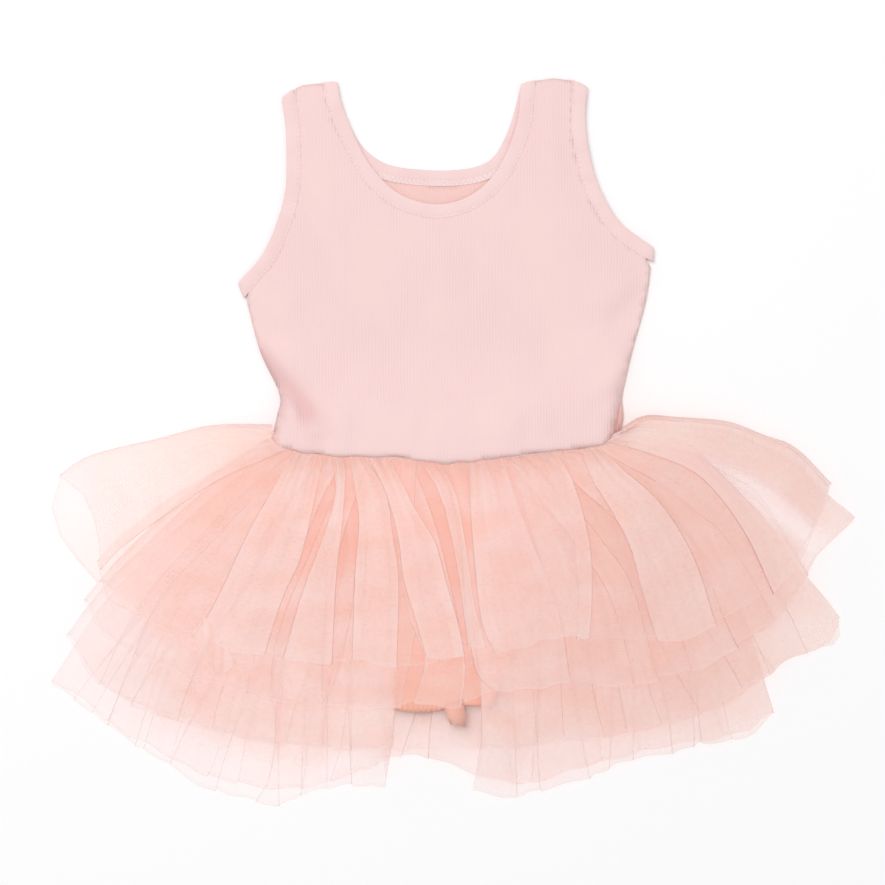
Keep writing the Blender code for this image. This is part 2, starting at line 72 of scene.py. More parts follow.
# The leotard's edges, as lines through these points: necks and waist from -X to +X, the others from the top down.
FRONT_NECK = [
    (-70.8, 221.1), (-68.0, 208.0), (-59.6, 187.5), (-50.0, 170.3), (-36.0, 155.6), (-20.0, 148.4),
    (-4.0, 147.3), (12.0, 153.0), (25.0, 164.4), (34.5, 181.0), (40.5, 200.0), (42.2, 219.6),
]
BACK_NECK = [
    (-70.8, 221.1), (-68.0, 208.0), (-60.5, 190.0), (-51.0, 178.0), (-37.0, 170.6), (-13.2, 167.8),
    (8.0, 168.6), (21.8, 173.0), (30.0, 182.5), (37.0, 199.0), (42.2, 219.6),
]
ARMHOLE_LEFT = [
    (-104.4, 211.3), (-102.0, 193.0), (-101.6, 172.0), (-102.2, 157.0), (-106.5, 139.0),
    (-116.0, 117.0), (-130.6, 99.6),
]
ARMHOLE_RIGHT = [
    (82.6, 218.4), (81.4, 200.0), (83.3, 182.0), (87.6, 164.2), (93.8, 149.8), (104.1, 134.6),
    (122.4, 121.2),
]
STRAP_LEFT_TOP = [(-96.9, 216.9), (-92.0, 219.4), (-79.8, 220.6)]
STRAP_RIGHT_TOP = [(51.2, 222.1), (62.0, 223.6), (72.8, 222.3)]
SIDE_LEFT = [(-126.9, 89.6), (-117.9, 56.6), (-105.8, 30.5), (-107.2, 18.0), (-110.6, 3.2)]
SIDE_RIGHT = [(122.3, 111.6), (118.6, 87.0), (110.6, 58.0), (104.4, 31.0), (99.8, 8.0)]
BACK_SIDE_RIGHT = SIDE_RIGHT[:3] + [(104.4, 31.0), (105.2, 18.0), (103.8, 9.0)]
WAIST = [
    (-110.6, 3.2), (-104.0, -1.4), (-96.0, -4.0), (-84.0, -5.6), (-62.0, -7.6), (-34.0, -7.4), (-8.0, -11.6),
    (18.0, -9.6), (40.0, -6.4), (62.0, -3.8), (82.0, -2.0), (92.0, 1.0), (99.8, 8.0),
]
WAIST_GAP = 1.3  # how far inside the bodice's edge the skirt is sewn on
WAIST_LEFT_END, WAIST_RIGHT_END = (-113.4, 4.4), (104.6, 7.2)
WING_START = (-110.3, 9.2)  # where the left wing comes out at the side seam
WAIST_MIDDLE = (-108.0, 97.0)  # between these the tiers follow the waist itself
NESTING_LEFT, NESTING_RIGHT = (2.0, -3.5), (-0.8, -3.6)  # how far each tier's ends move in from the last one's
NESTING_WAIST = 3.0

# The tiers from the outermost in: length of the cut, side folds from the waist down, and hems from -X to +X.
TIERS = [
    {
        "length": 127.0,
        "left": [(-146.0, 8.7), (-183.0, 1.6), (-222.0, -8.0), (-241.0, -20.0)],
        "right": [(118.0, 14.6), (137.0, 13.6), (167.5, 11.0), (190.5, 2.5), (208.5, -4.5), (230.0, -26.0)],
        "front_hem": [
            (-226.5, -28.4), (-217.0, -52.0), (-209.5, -92.0), (-185.0, -105.5), (-156.0, -118.0),
            (-106.0, -130.5), (-61.0, -132.5), (-10.0, -131.0), (26.0, -124.0), (68.0, -119.5),
            (100.0, -121.0), (132.0, -120.0), (166.0, -108.0), (200.0, -86.0), (220.0, -56.0),
        ],
        "back_hem": [
            (-247.0, -33.0), (-247.0, -44.0), (-230.0, -73.0), (-208.0, -92.0), (-156.0, -120.0),
            (-61.0, -134.0), (20.0, -133.0), (100.0, -125.0), (166.0, -108.0), (206.0, -80.0), (223.0, -52.0),
        ],
    },
    {
        "length": 152.0,
        "left": [(-150.0, -24.0), (-190.0, -60.0), (-211.0, -82.0), (-223.0, -97.0)],
        "right": [
            (117.0, 9.6), (137.0, 8.6), (167.0, 5.6), (189.0, -2.5), (206.0, -9.8), (229.0, -31.0),
            (246.6, -46.0),
        ],
        "front_hem": [
            (-214.0, -114.0), (-190.0, -131.0), (-150.0, -146.0), (-106.0, -157.0), (-60.0, -160.5),
            (-10.0, -159.5), (28.0, -151.0), (71.0, -147.0), (110.0, -147.0), (150.0, -137.0),
            (190.0, -113.0), (214.0, -84.0), (232.0, -60.0),
        ],
        "back_hem": [
            (-212.0, -116.0), (-186.0, -133.0), (-106.0, -158.0), (-60.0, -161.0), (10.0, -160.0),
            (71.0, -155.0), (150.0, -138.0), (196.0, -110.0), (217.0, -84.0), (223.0, -73.0), (239.0, -54.0),
        ],
    },
    {
        "length": 178.0,
        "left": [(-148.0, -29.0), (-186.0, -64.0), (-212.0, -90.0), (-233.6, -118.0)],
        "right": [
            (137.0, 1.0), (157.5, -16.0), (174.6, -31.4), (191.7, -48.5), (208.8, -72.4), (237.0, -107.0),
        ],
        "front_hem": [
            (-224.0, -137.0), (-204.0, -156.0), (-160.0, -172.0), (-106.0, -183.5), (-60.0, -186.0),
            (-10.0, -186.5), (28.0, -184.0), (71.0, -181.0), (110.0, -177.0), (150.0, -166.0),
            (183.0, -148.0), (206.0, -132.0), (235.0, -123.0),
        ],
        "back_hem": [
            (-224.0, -138.0), (-204.0, -157.0), (-160.0, -174.0), (-106.0, -185.0), (-10.0, -188.0),
            (71.0, -184.0), (150.0, -168.0), (206.0, -134.0), (232.0, -124.0),
        ],
    },
    {
        "length": 203.0,
        "left": [(-146.0, -34.0), (-184.0, -69.0), (-212.0, -97.0), (-245.6, -147.0)],
        "right": [(130.0, -18.0), (152.0, -50.0), (172.0, -92.0), (187.0, -135.0), (196.4, -166.0)],
        "front_hem": [
            (-232.0, -156.0), (-212.0, -173.5), (-179.3, -194.0), (-160.0, -208.0), (-114.0, -221.0),
            (-83.0, -214.5), (-46.0, -210.5), (-10.0, -210.5), (20.0, -214.5), (50.0, -215.5),
            (78.0, -206.5), (111.8, -195.0), (140.0, -188.0), (181.9, -178.7),
        ],
        "back_hem": [
            (-232.0, -155.0), (-212.0, -171.5), (-179.3, -192.0), (-156.0, -203.0), (-110.0, -213.0),
            (-60.0, -204.0), (-34.0, -191.0), (-12.0, -194.5), (12.0, -203.0), (50.0, -209.0),
            (90.0, -196.0), (140.0, -186.0), (180.0, -177.0),
        ],
    },
]

# How the cloth's rows are spaced down a tier: closest at the waist, where the gathers are finest.
DOWN = np.concatenate([
    np.array([0.0, 0.008, 0.018, 0.03, 0.044, 0.06, 0.078, 0.098, 0.12, 0.145, 0.172, 0.2]),
    np.linspace(0.235, 0.97, 22), np.array([0.985, 1.0]),
])


# ---- plan geometry ----

def smooth(points, step=2.0):
    """Points about step apart on a smooth curve through the given ones."""
    p = np.array(points, float)
    ends = np.vstack([2 * p[0] - p[1], p, 2 * p[-1] - p[-2]])
    found = []
    for i in range(len(p) - 1):
        a, b, c, d = ends[i:i + 4]
        count = max(1, int(round(np.linalg.norm(c - b) / step)))
        t = (np.arange(count) / count)[:, None]
        found.append(0.5 * (2 * b + (c - a) * t + (2 * a - 5 * b + 4 * c - d) * t ** 2
                            + (3 * b - a - 3 * c + d) * t ** 3))
    return np.vstack(found + [p[-1:]])


def lengths_of(points):
    """The length of a chain up to each of its points."""
    return np.concatenate([[0.0], np.cumsum(np.linalg.norm(np.diff(points, axis=0), axis=1))])


def even(points, count):
    """count + 1 points at equal lengths along a chain."""
    lengths = lengths_of(points)
    wanted = np.linspace(0.0, lengths[-1], count + 1)
    return np.column_stack([np.interp(wanted, lengths, points[:, k]) for k in range(points.shape[1])])


def along(points, shares):
    """Points at shares of a chain's length."""
    lengths = lengths_of(points)
    wanted = np.asarray(shares) * lengths[-1]
    return np.column_stack([np.interp(wanted, lengths, points[:, k]) for k in range(points.shape[1])])


def at(chain, share):
    """Points at these shares of a chain whose points are evenly spread."""
    place = np.clip(share, 0.0, 1.0) * (len(chain) - 1)
    index = np.arange(len(chain))
    return np.stack([np.interp(place, index, chain[:, k]) for k in range(2)], axis=-1)


def beside(points, distance):
    """The chain moved sideways, to its left for a distance above 0."""
    run = np.gradient(points, axis=0)
    run /= np.linalg.norm(run, axis=1)[:, None]
    return points + distance * np.column_stack([-run[:, 1], run[:, 0]])


def distance_to(points, chain):
    """The distance of each point from a chain of lines."""
    nearest = np.full(len(points), 1e9)
    for a, b in zip(chain, chain[1:]):
        run = b - a
        away = points - a
        share = np.clip(away @ run / max(run @ run, 1e-9), 0.0, 1.0)
        nearest = np.minimum(nearest, np.linalg.norm(away - share[:, None] * run, axis=1))
    return nearest


def is_inside(points, outline):
    """Which points lie inside a closed outline."""
    inside = np.zeros(len(points), bool)
    x, y = points[:, 0], points[:, 1]
    for a, b in zip(outline, np.roll(outline, -1, axis=0)):
        if a[1] == b[1]:
            continue
        crosses = (a[1] > y) != (b[1] > y)
        inside ^= crosses & (x < a[0] + (y - a[1]) / (b[1] - a[1]) * (b[0] - a[0]))
    return inside


def ease(value):
    """0 up to 0 and 1 from 1 on, with a soft step between."""
    clamped = np.clip(value, 0.0, 1.0)
    return clamped * clamped * (3.0 - 2.0 * clamped)


# ---- meshes and materials ----

def piece(name, vertices, faces, material, uv=None, marks=None):
    """A mesh object from points in millimetres in the garment's frame. uv is one (u, v) a vertex, and marks
    holds named numbers, one a vertex."""
    mesh = bpy.data.meshes.new(name)
    mesh.from_pydata(((np.asarray(vertices, float) + SHIFT) * MM).tolist(), [], faces)
    if uv is not None:
        layer = mesh.uv_layers.new(name="cloth")
        corners = np.empty(len(mesh.loops), np.int32)
        mesh.loops.foreach_get("vertex_index", corners)
        layer.uv.foreach_set("vector", np.asarray(uv, np.float32)[corners].ravel())
    for mark, values in (marks or {}).items():
        stored = mesh.attributes.new(mark, "FLOAT", "POINT")
        stored.data.foreach_set("value", np.asarray(values, np.float32))
    mesh.materials.append(material)
    mesh.shade_smooth()
    made = bpy.data.objects.new(name, mesh)
    bpy.context.scene.collection.objects.link(made)
    return made


def face_up(thing):
    """Turns the faces round so that an open surface's sides agree."""
    shape = bmesh.new()
    shape.from_mesh(thing.data)
    bmesh.ops.recalc_face_normals(shape, faces=shape.faces)
    shape.to_mesh(thing.data)
    shape.free()
    return thing


def thicken(thing, thickness):
    """Gives a surface a wall, half of it on each side."""
    wall = thing.modifiers.new("wall", "SOLIDIFY")
    wall.thickness = thickness * MM
    wall.offset = 0.0
    wall.use_even_offset = False
    return thing


class Nodes:
    """A short way to build a material's nodes."""

    def __init__(self, name):
        self.material = bpy.data.materials.new(name)
        self.material.use_nodes = True
        self.tree = self.material.node_tree
        self.shader = self.tree.nodes["Principled BSDF"]

    def node(self, kind, **values):
        made = self.tree.nodes.new(kind)
        for key, value in values.items():
            setattr(made, key, value)
        return made

    def link(self, source, target):
        self.tree.links.new(source, target)

    def feed(self, node, index, value):
        """Sets an input to a number or a colour, or links it to another node."""
        if isinstance(value, (int, float, tuple)):
            node.inputs[index].default_value = value
        else:
            self.link(value, node.inputs[index])

    def math(self, operation, first, second=0.0, clamp=False):
        made = self.node("ShaderNodeMath", operation=operation, use_clamp=clamp)
        self.feed(made, 0, first)
        self.feed(made, 1, second)
        return made.outputs[0]

    def mix(self, share, first, second):
        made = self.node("ShaderNodeMix", data_type="RGBA")
        self.feed(made, 0, share)
        self.feed(made, 6, first)
        self.feed(made, 7, second)
        return made.outputs[2]

    def spread(self, value, low, high, to_low=0.0, to_high=1.0):
        """Maps a value from one range to another, and stops at both ends."""
        made = self.node("ShaderNodeMapRange")
        for index, number in ((1, low), (2, high), (3, to_low), (4, to_high)):
            made.inputs[index].default_value = number
        self.link(value, made.inputs[0])
        return made.outputs[0]

    def scaled(self, source, x, y):
        made = self.node("ShaderNodeMapping")
        made.inputs["Scale"].default_value = (x, y, 1.0)
        self.link(source, made.inputs["Vector"])
        return made.outputs[0]

    def noise(self, source, scale, detail=2.0, rough=0.5):
        made = self.node("ShaderNodeTexNoise")
        made.inputs["Scale"].default_value = scale
        made.inputs["Detail"].default_value = detail
        made.inputs["Roughness"].default_value = rough
        self.link(source, made.inputs["Vector"])
        return made.outputs[0]

    def parts(self, source):
        made = self.node("ShaderNodeSeparateXYZ")
        self.link(source, made.inputs[0])
        return made.outputs

    def bump(self, height, depth, strength=1.0):
        made = self.node("ShaderNodeBump")
        made.inputs["Distance"].default_value = depth
        made.inputs["Strength"].default_value = strength
        self.link(height, made.inputs["Height"])
        self.link(made.outputs[0], self.shader.inputs["Normal"])

    def mark(self, name):
        """One of the named numbers that a piece's vertices hold."""
        return self.node("ShaderNodeAttribute", attribute_name=name).outputs["Fac"]

    def position(self):
        return self.node("ShaderNodeNewGeometry").outputs["Position"]

    def colour(self, source):
        self.link(source, self.shader.inputs["Base Color"])

    def set(self, **values):
        for key, value in values.items():
            self.shader.inputs[key.replace("_", " ")].default_value = value


def darker(colour, red, green, blue):
    """A colour with its three parts scaled."""
    return (colour[0] * red, colour[1] * green, colour[2] * blue, 1.0)


def wave(nodes, source, pitch):
    """0 to 1 and back once in each pitch."""
    turned = nodes.math("MULTIPLY", source, 2.0 * math.pi * (1.0 / pitch))
    return nodes.math("MULTIPLY_ADD", nodes.math("SINE", turned), 0.5)


def net(nodes, across, down, pitch):
    """The threads of a fine diamond net: 1 on a thread, 0 in a hole."""
    found = None
    for sign in (1.0, -1.0):
        slant = nodes.math("ADD", across, nodes.math("MULTIPLY", down, 0.6 * sign))
        bare = nodes.math("ABSOLUTE", nodes.math("SINE", nodes.math("MULTIPLY", slant, math.pi / pitch)))
        thread = nodes.spread(bare, 0.1, 0.65, 1.0, 0.0)
        found = thread if found is None else nodes.math("MAXIMUM", found, thread)
    return found


NET_PITCH = 0.00085
HOLE_COVER, THREAD_COVER = 0.243, 0.266  # how much of what lies behind a hole and a thread hide
# The tint under a pleat is painted shade. The thin tint is the pale colour of net lying singly.
UNDER_PLEAT_SHADE, THIN_TINT = (0.93, 0.50, 0.385, 1.0), (0.82, 0.72, 0.75, 1.0)
# The right tint is painted shade, darkening the net towards the right. The left tint makes the net paler towards
# the left outer edge.
RIGHT_SHADE_TINT, LEFT_TINT = (0.84, 0.63, 0.575, 1.0), (0.93, 0.74, 0.70, 1.0)
# The fold tint deepens the net at its folds. Along the small creases it is painted shade.
GATHER_TINT, FOLD_TINT = (0.90, 0.49, 0.40, 1.0), (0.90, 0.60, 0.575, 1.0)


def tulle(name, colour, pale):
    """See-through net. A vertex's marks say where a fold runs, which makes the net denser and deeper in colour and
    along the small creases is painted shade, how closely the net is gathered, where it lies singly, and whether it
    is on top of a pleat, denser there and paler as painted light, or deep under one, darker there as painted
    shade."""
    nodes = Nodes(name)
    uv = nodes.node("ShaderNodeUVMap", uv_map="cloth").outputs[0]
    across, down, _ = nodes.parts(uv)
    fold, dense, thin, top, under_shade = map(nodes.mark, ("fold", "dense", "thin", "top", "deep"))
    streaks = nodes.noise(nodes.scaled(uv, 130.0, 7.0), 1.0, 2.0, 0.55)
    clouds = nodes.noise(nodes.scaled(uv, 34.0, 60.0), 1.0, 1.0, 0.5)
    warped = nodes.math("ADD", across, nodes.math("MULTIPLY", streaks, 0.0022))
    cover = nodes.math("MULTIPLY_ADD", net(nodes, warped, down, NET_PITCH), THREAD_COVER - HOLE_COVER)
    nodes.feed(cover.node, 2, HOLE_COVER)
    for factor in (
        nodes.spread(streaks, 0.3, 0.7, 0.93, 1.07),
        nodes.math("ADD", dense, 1.0),
        nodes.spread(top, 0.0, 1.0, 0.9, 1.55),
        nodes.spread(thin, 0.0, 1.0, 1.0, 0.2),
    ):
        cover = nodes.math("MULTIPLY", cover, factor)
    cover = nodes.math("ADD", cover, nodes.math("MULTIPLY", fold, 0.3), True)
    nodes.link(cover, nodes.shader.inputs["Alpha"])

    # Narrow gathers darken the cloth just under the waist, and the net is finely mottled all over.
    gathers = nodes.noise(nodes.scaled(uv, 210.0, 9.0), 1.0, 1.0, 0.5)
    gathers = nodes.math("MULTIPLY", nodes.spread(gathers, 0.42, 0.62, 0.0, 0.6),
                         nodes.spread(down, 0.002, 0.034, 1.0, 0.0))
    specks = nodes.noise(nodes.scaled(uv, 420.0, 620.0), 1.0, 2.0, 0.6)
    specks = nodes.math("MULTIPLY", nodes.spread(specks, 0.5, 0.72, 0.0, 0.4),
                        nodes.spread(thin, 0.0, 0.5, 1.0, 0.2))
    x = nodes.parts(nodes.position())[0]
    tint = nodes.mix(nodes.spread(clouds, 0.35, 0.65), colour, pale)
    for share, other in (
        # A pleat's top is paler as painted light, and net deep under a pleat is darker as painted shade.
        (nodes.math("MULTIPLY", top, 0.5), pale),
        (nodes.math("MULTIPLY", under_shade, 0.52), UNDER_PLEAT_SHADE),
        (nodes.math("MULTIPLY", thin, 0.9), THIN_TINT),
        # Painted shade darkens the net towards the right. Towards the left outer edge the net turns paler.
        (nodes.spread(x, 0.0, 0.26, 0.0, 0.75), RIGHT_SHADE_TINT),
        (nodes.spread(x, -0.08, -0.2, 0.0, 0.35), LEFT_TINT),
        (gathers, GATHER_TINT),
        (specks, darker(colour, 0.9, 0.78, 0.76)),
        # Folds deepen the net's colour. Along the small creases this is painted shade.
        (nodes.math("MULTIPLY", fold, 0.75), FOLD_TINT),
    ):
        tint = nodes.mix(share, tint, other)
    nodes.colour(tint)
    nodes.set(Roughness=0.85, Specular_IOR_Level=0.15)
    ripples = nodes.noise(nodes.scaled(uv, 90.0, 70.0), 1.0, 2.0, 0.55)
    nodes.bump(nodes.math("ADD", ripples, nodes.math("MULTIPLY", gathers, -0.5)), 0.003, 0.35)
    return nodes.material


RIB_PITCH, ROW_PITCH, PUCKER_PITCH = 0.00185, 0.0011, 0.0031
LEG_EDGE = (-156.0, -163.0)  # between these the leg elastic gathers the brief


def knit(name, colour, valley_shade):
    """Rib knit whose ribs run down the garment, with painted shade in the ribs' valleys. A vertex's fold mark
    paints shade into a crease.
    """
    nodes = Nodes(name)
    place = nodes.position()
    x, y, _ = nodes.parts(place)
    wander = nodes.noise(nodes.scaled(place, 1.0, 0.35), 26.0, 2.0, 0.5)
    lean = nodes.math("MULTIPLY", nodes.math("SUBTRACT", wander, 0.5), 0.0056)
    shiver = nodes.noise(place, 110.0, 1.0, 0.5)
    lean = nodes.math("ADD", lean, nodes.math("MULTIPLY", shiver, 0.0011))
    ribs = wave(nodes, nodes.math("ADD", x, lean), RIB_PITCH)
    rows = wave(nodes, y, ROW_PITCH)
    fuzz = nodes.noise(place, 900.0, 2.0, 0.6)
    patches = nodes.noise(nodes.scaled(place, 1.0, 0.6), 22.0, 3.0, 0.6)
    clear = nodes.spread(patches, 0.36, 0.6, 0.25, 1.0)
    height = nodes.math("ADD", nodes.math("MULTIPLY", ribs, clear), nodes.math("MULTIPLY", rows, 0.15))
    height = nodes.math("ADD", height, nodes.math("MULTIPLY", fuzz, 0.25))
    # Painted shade darkens the ribs' valleys, most where the ribs show clearly.
    shade = nodes.math("MULTIPLY", nodes.math("SUBTRACT", 1.0, ribs), nodes.math("MULTIPLY", clear, 0.42))
    tint = nodes.mix(shade, colour, valley_shade)
    # The fold mark darkens the knit in a crease as painted shade.
    nodes.colour(nodes.mix(nodes.mark("fold"), tint, darker(colour, 0.9, 0.8, 0.81)))
    nodes.set(Roughness=0.88, Specular_IOR_Level=0.2, Sheen_Weight=0.12, Sheen_Roughness=0.4)
    nodes.bump(height, 0.0002, 0.8)
    return nodes.material


def plain(name, colour, grain=0.0003):
    """Smooth cloth or thread, a little fuzzy and uneven."""
    nodes = Nodes(name)
    place = nodes.position()
    soft = nodes.spread(nodes.noise(place, 60.0, 2.0, 0.5), 0.35, 0.65, 0.0, 0.5)
    nodes.colour(nodes.mix(soft, colour, darker(colour, 0.95, 0.9, 0.9)))
    nodes.set(Roughness=0.88, Specular_IOR_Level=0.2, Sheen_Weight=0.12)
    nodes.bump(nodes.noise(place, 700.0, 3.0, 0.6), grain, 0.6)
    return nodes.material


def gathered_knit(name, colour):
    """Plain jersey, puckered where the leg elastic gathers it, with painted shade in the puckers' valleys."""
    nodes = Nodes(name)
    place = nodes.position()
    x, y, _ = nodes.parts(place)
    bend = nodes.math("MULTIPLY", nodes.noise(place, 90.0, 2.0, 0.5), 0.004)
    puckers = wave(nodes, nodes.math("ADD", x, bend), PUCKER_PITCH)
    edge = nodes.spread(y, *((level + SHIFT[1]) * MM for level in LEG_EDGE))
    fuzz = nodes.math("MULTIPLY", nodes.noise(place, 700.0, 2.0, 0.6), 0.2)
    height = nodes.math("ADD", nodes.math("MULTIPLY", puckers, edge), fuzz)
    # Painted shade darkens the puckers' valleys towards the leg edges.
    shade = nodes.math("MULTIPLY", nodes.math("SUBTRACT", 1.0, puckers), nodes.math("MULTIPLY", edge, 0.6))
    nodes.colour(nodes.mix(shade, colour, darker(colour, 0.93, 0.8, 0.76)))
    nodes.set(Roughness=0.88, Specular_IOR_Level=0.2, Sheen_Weight=0.12)
    nodes.bump(height, 0.0003, 0.8)
    return nodes.material


# ---- the skirt ----

def waist_chain():
    """The line along which the skirt is sewn on."""
    return beside(even(smooth(WAIST, 4.0), 60), -WAIST_GAP)


class Fan:
    """The plan of one tier: cloth between the waist, two side folds and a hem."""

    def __init__(self, index, sizes):
        self.length = sizes["length"]
        left_start = np.add(WAIST_LEFT_END, index * np.array(NESTING_LEFT)) if index else np.array(WING_START)
        right_start = np.add(WAIST_RIGHT_END, index * np.array(NESTING_RIGHT))
        first, last = WAIST_MIDDLE[0] + NESTING_WAIST * index, WAIST_MIDDLE[1] - NESTING_WAIST * index
        middle = [p for p in waist_chain()[::3] if first < p[0] < last]
        self.waist = even(smooth([left_start, *middle, right_start], 4.0), 60)
        self.left = even(smooth([left_start, *sizes["left"]], 4.0), 40)
        self.right = even(smooth([right_start, *sizes["right"]], 4.0), 40)
        self.hems = {}
        self.outlines = {}
        for half in ("front", "back"):
            hem = even(smooth([self.left[-1], *sizes[half + "_hem"], self.right[-1]], 4.0), 120)
            self.hems[half] = hem
            self.outlines[half] = np.vstack([self.waist, self.right[1:], hem[::-1][1:], self.left[::-1][1:-1]])

    def place(self, half, across, down):
        """Plan points at shares across and down the tier, as a Coons patch between its four edges."""
        hem = self.hems[half]
        across, down = np.broadcast_arrays(across, down)
        a, d = across[..., None], down[..., None]
        straight = at(self.waist, across) * (1 - d) + at(hem, across) * d
        sides = at(self.left, down) * (1 - a) + at(self.right, down) * a
        top = self.waist[0] * (1 - a) + self.waist[-1] * a
        low = hem[0] * (1 - a) + hem[-1] * a
        return straight + sides - top * (1 - d) - low * d

    def cover(self, half, points, near, far):
        """1 for points inside the outline, easing to 0 from near to far outside it."""
        outline = self.outlines[half]
        away = distance_to(points, np.vstack([outline, outline[:1]]))
        found = 1.0 - ease((away - near) / (far - near))
        found[is_inside(points, outline)] = 1.0
        return found


FANS = [Fan(i, sizes) for i, sizes in enumerate(TIERS)]
# The part of the plan that the brief lifts.
BRIEF_PLAN = np.array([
    (88.0, -9.5), (40.0, -14.5), (-6.0, -16.5), (-50.0, -14.5), (-94.0, -13.5), (-94.0, -80.0), (-74.0, -92.0),
    (-56.0, -112.0), (-44.0, -138.0), (-38.0, -159.0), (24.0, -157.0), (33.0, -136.0), (48.0, -108.0),
    (68.0, -90.0), (88.0, -78.0),
])


# How far from a layer's edge the ones on it start and stop easing down: for back halves, and for front ones.
BACK_DRAPE, FRONT_DRAPE = (3.0, 18.0), (4.0, 44.0)


def back_height(index, points):
    """The height on which a tier's back half lies."""
    found = np.full(len(points), FLOOR_LEVEL)
    for fan in FANS[:index]:
        found += BACK_STEP * fan.cover("back", points, *BACK_DRAPE)
    return found


def front_height(index, points, pleat):
    """The height on which a tier's front half lies."""
    backs = sum(fan.cover("back", points, *FRONT_DRAPE) for fan in FANS)
    away = distance_to(points, np.vstack([BRIEF_PLAN, BRIEF_PLAN[:1]]))
    brief = np.where(is_inside(points, BRIEF_PLAN), 1.0, 1.0 - ease((away - 20.0) / 30.0))
    backs = backs + (len(FANS) - backs) * brief
    found = FLOOR_LEVEL + BACK_STEP * backs + 2 * BRIEF_STEP * brief
    over = sum((fan.cover("front", points, *FRONT_DRAPE) for fan in FANS[index + 1:]), np.zeros(len(points)))
    return found + (FRONT_STEP + pleat) * over


def curve(points):
    """A fold's line from the waist to the hem, as one plan point for each row of cloth."""
    return along(smooth(points, 3.0), DOWN)


def fan_curve(fan, half, top, low, reach, phase):
    """A fold's line that follows the fan from one share of the waist to one share of the hem, swaying a little."""
    down = DOWN * reach
    across = top + (low - top) * ease(down * 0.9 + 0.1) + 0.012 * np.sin(math.pi * 2 * down + phase) * down
    return fan.place(half, np.clip(across, 0.0, 1.0), down)


def inward(edge, other, depth, opens):
    """The line of a hidden fold: depth mm from one edge of a panel towards the other, less where it's narrow,
    and less again towards the hem where the pleat opens."""
    run = other - edge
    width = np.linalg.norm(run, axis=1)[:, None]
    down = DOWN[:, None]
    deep = depth * (0.2 + 0.8 * np.minimum(down / 0.6, 1.0)) * (1.0 - opens * ease((down - 0.4) / 0.5))
    return edge + run / np.maximum(width, 1e-6) * np.minimum(deep, 0.42 * width)


def folded(panels, start, end, depths, lows, opens):
    """The cloth's path across a half: (line, level) pairs, level 1 on top of a pleat and 0 under it. lows gives
    the hidden folds that don't follow their panel's edge, by side and panel."""
    path = [(start, 0.5)]
    for i, (left, right) in enumerate(panels):
        depth = depths[i % len(depths)]
        if i > 0 or np.linalg.norm(left[-1] - start[-1]) > 3.0:
            hidden = lows.get(("left", i))
            path.append((inward(left, right, depth, opens) if hidden is None else hidden, 0.0))
            path.append((left, 1.0))
        path.append((right, 1.0))
        if i < len(panels) - 1 or np.linalg.norm(right[-1] - end[-1]) > 3.0:
            hidden = lows.get(("right", i))
            path.append((inward(right, left, depth * 0.9, opens) if hidden is None else hidden, 0.0))
    path.append((end, 0.5))
    return path


def random_panels(fan, half, rng, count, first, last, gap=0.35):
    """Irregular pleats between two shares of the tier's width."""
    made = []
    widths = rng.uniform(0.6, 1.5, count)
    widths *= (last - first) / widths.sum()
    place = first
    for width in widths:
        low, high = place + width * gap * 0.5, place + width * (1.0 - gap * 0.5)
        move = rng.uniform(-0.25, 0.25, 2) * width * gap
        tops = rng.uniform(-0.2, 0.2, 2) * width
        phase = rng.uniform(0.0, 6.28)
        reach = rng.uniform(0.992, 1.0, 2)
        made.append((
            fan_curve(fan, half, low + tops[0], low + move[0], reach[0], phase),
            fan_curve(fan, half, high + tops[1], high + move[1], reach[1], phase + 0.8),
        ))
        place += width
    return made


def strip_shares(width, on_top):
    """How far across a strip its columns lie: two close to each fold, the rest spread."""
    close = min(0.45 / max(width, 1.0), 0.08)
    near = min(1.6 / max(width, 1.0), 0.2)
    middle = np.linspace(near, 1.0 - near, max(8, int(width / 2.6)) if on_top else 5)
    return np.concatenate([[0.0, close], middle, [1.0 - close]])


# Where the net is palest because it lies singly: a soft oval's middle, half length, half width and turn, how
# much it shows, and the tiers it's in.
THIN_PLACES = [
    ((-244.0, -45.0), 34.0, 18.0, 80.0, 0.35, (0,)),
    ((243.0, -52.0), 22.0, 14.0, -50.0, 0.3, (0, 1)),
    ((196.0, -39.0), 46.0, 8.0, -37.0, 1.0, (0, 1)),
    ((-222.0, -128.0), 60.0, 34.0, -60.0, 0.5, (1, 2, 3)),
    ((-205.0, -165.0), 60.0, 26.0, -35.0, 0.4, (2, 3)),
    ((-140.0, -205.0), 50.0, 16.0, -15.0, 0.4, (3,)),
    ((222.0, -120.0), 26.0, 16.0, 0.0, 0.3, (2,)),
]
# Where the net lies bunched, in the same way: the fifth number is how much closer it is.
CROWDED_PLACES = [
    ((30.0, -88.0), 120.0, 62.0, 0.0, 0.75, (1, 2, 3)),
    ((150.0, -60.0), 90.0, 40.0, -40.0, 0.4, (0, 1, 2)),
    ((165.0, 4.0), 62.0, 11.0, -14.0, 0.8, (0, 1)),
    ((150.0, -140.0), 90.0, 45.0, 20.0, 0.8, (1, 2, 3)),
    ((40.0, -185.0), 70.0, 26.0, 0.0, 0.6, (3,)),
    ((-12.0, -182.0), 34.0, 14.0, 0.0, 1.3, (3,)),
    ((228.0, -38.0), 26.0, 15.0, -48.0, 0.7, (0, 1)),
    ((-150.0, -160.0), 80.0, 22.0, -15.0, 0.45, (2, 3)),
    ((-60.0, -70.0), 60.0, 60.0, 0.0, 0.3, (1, 2, 3)),
]

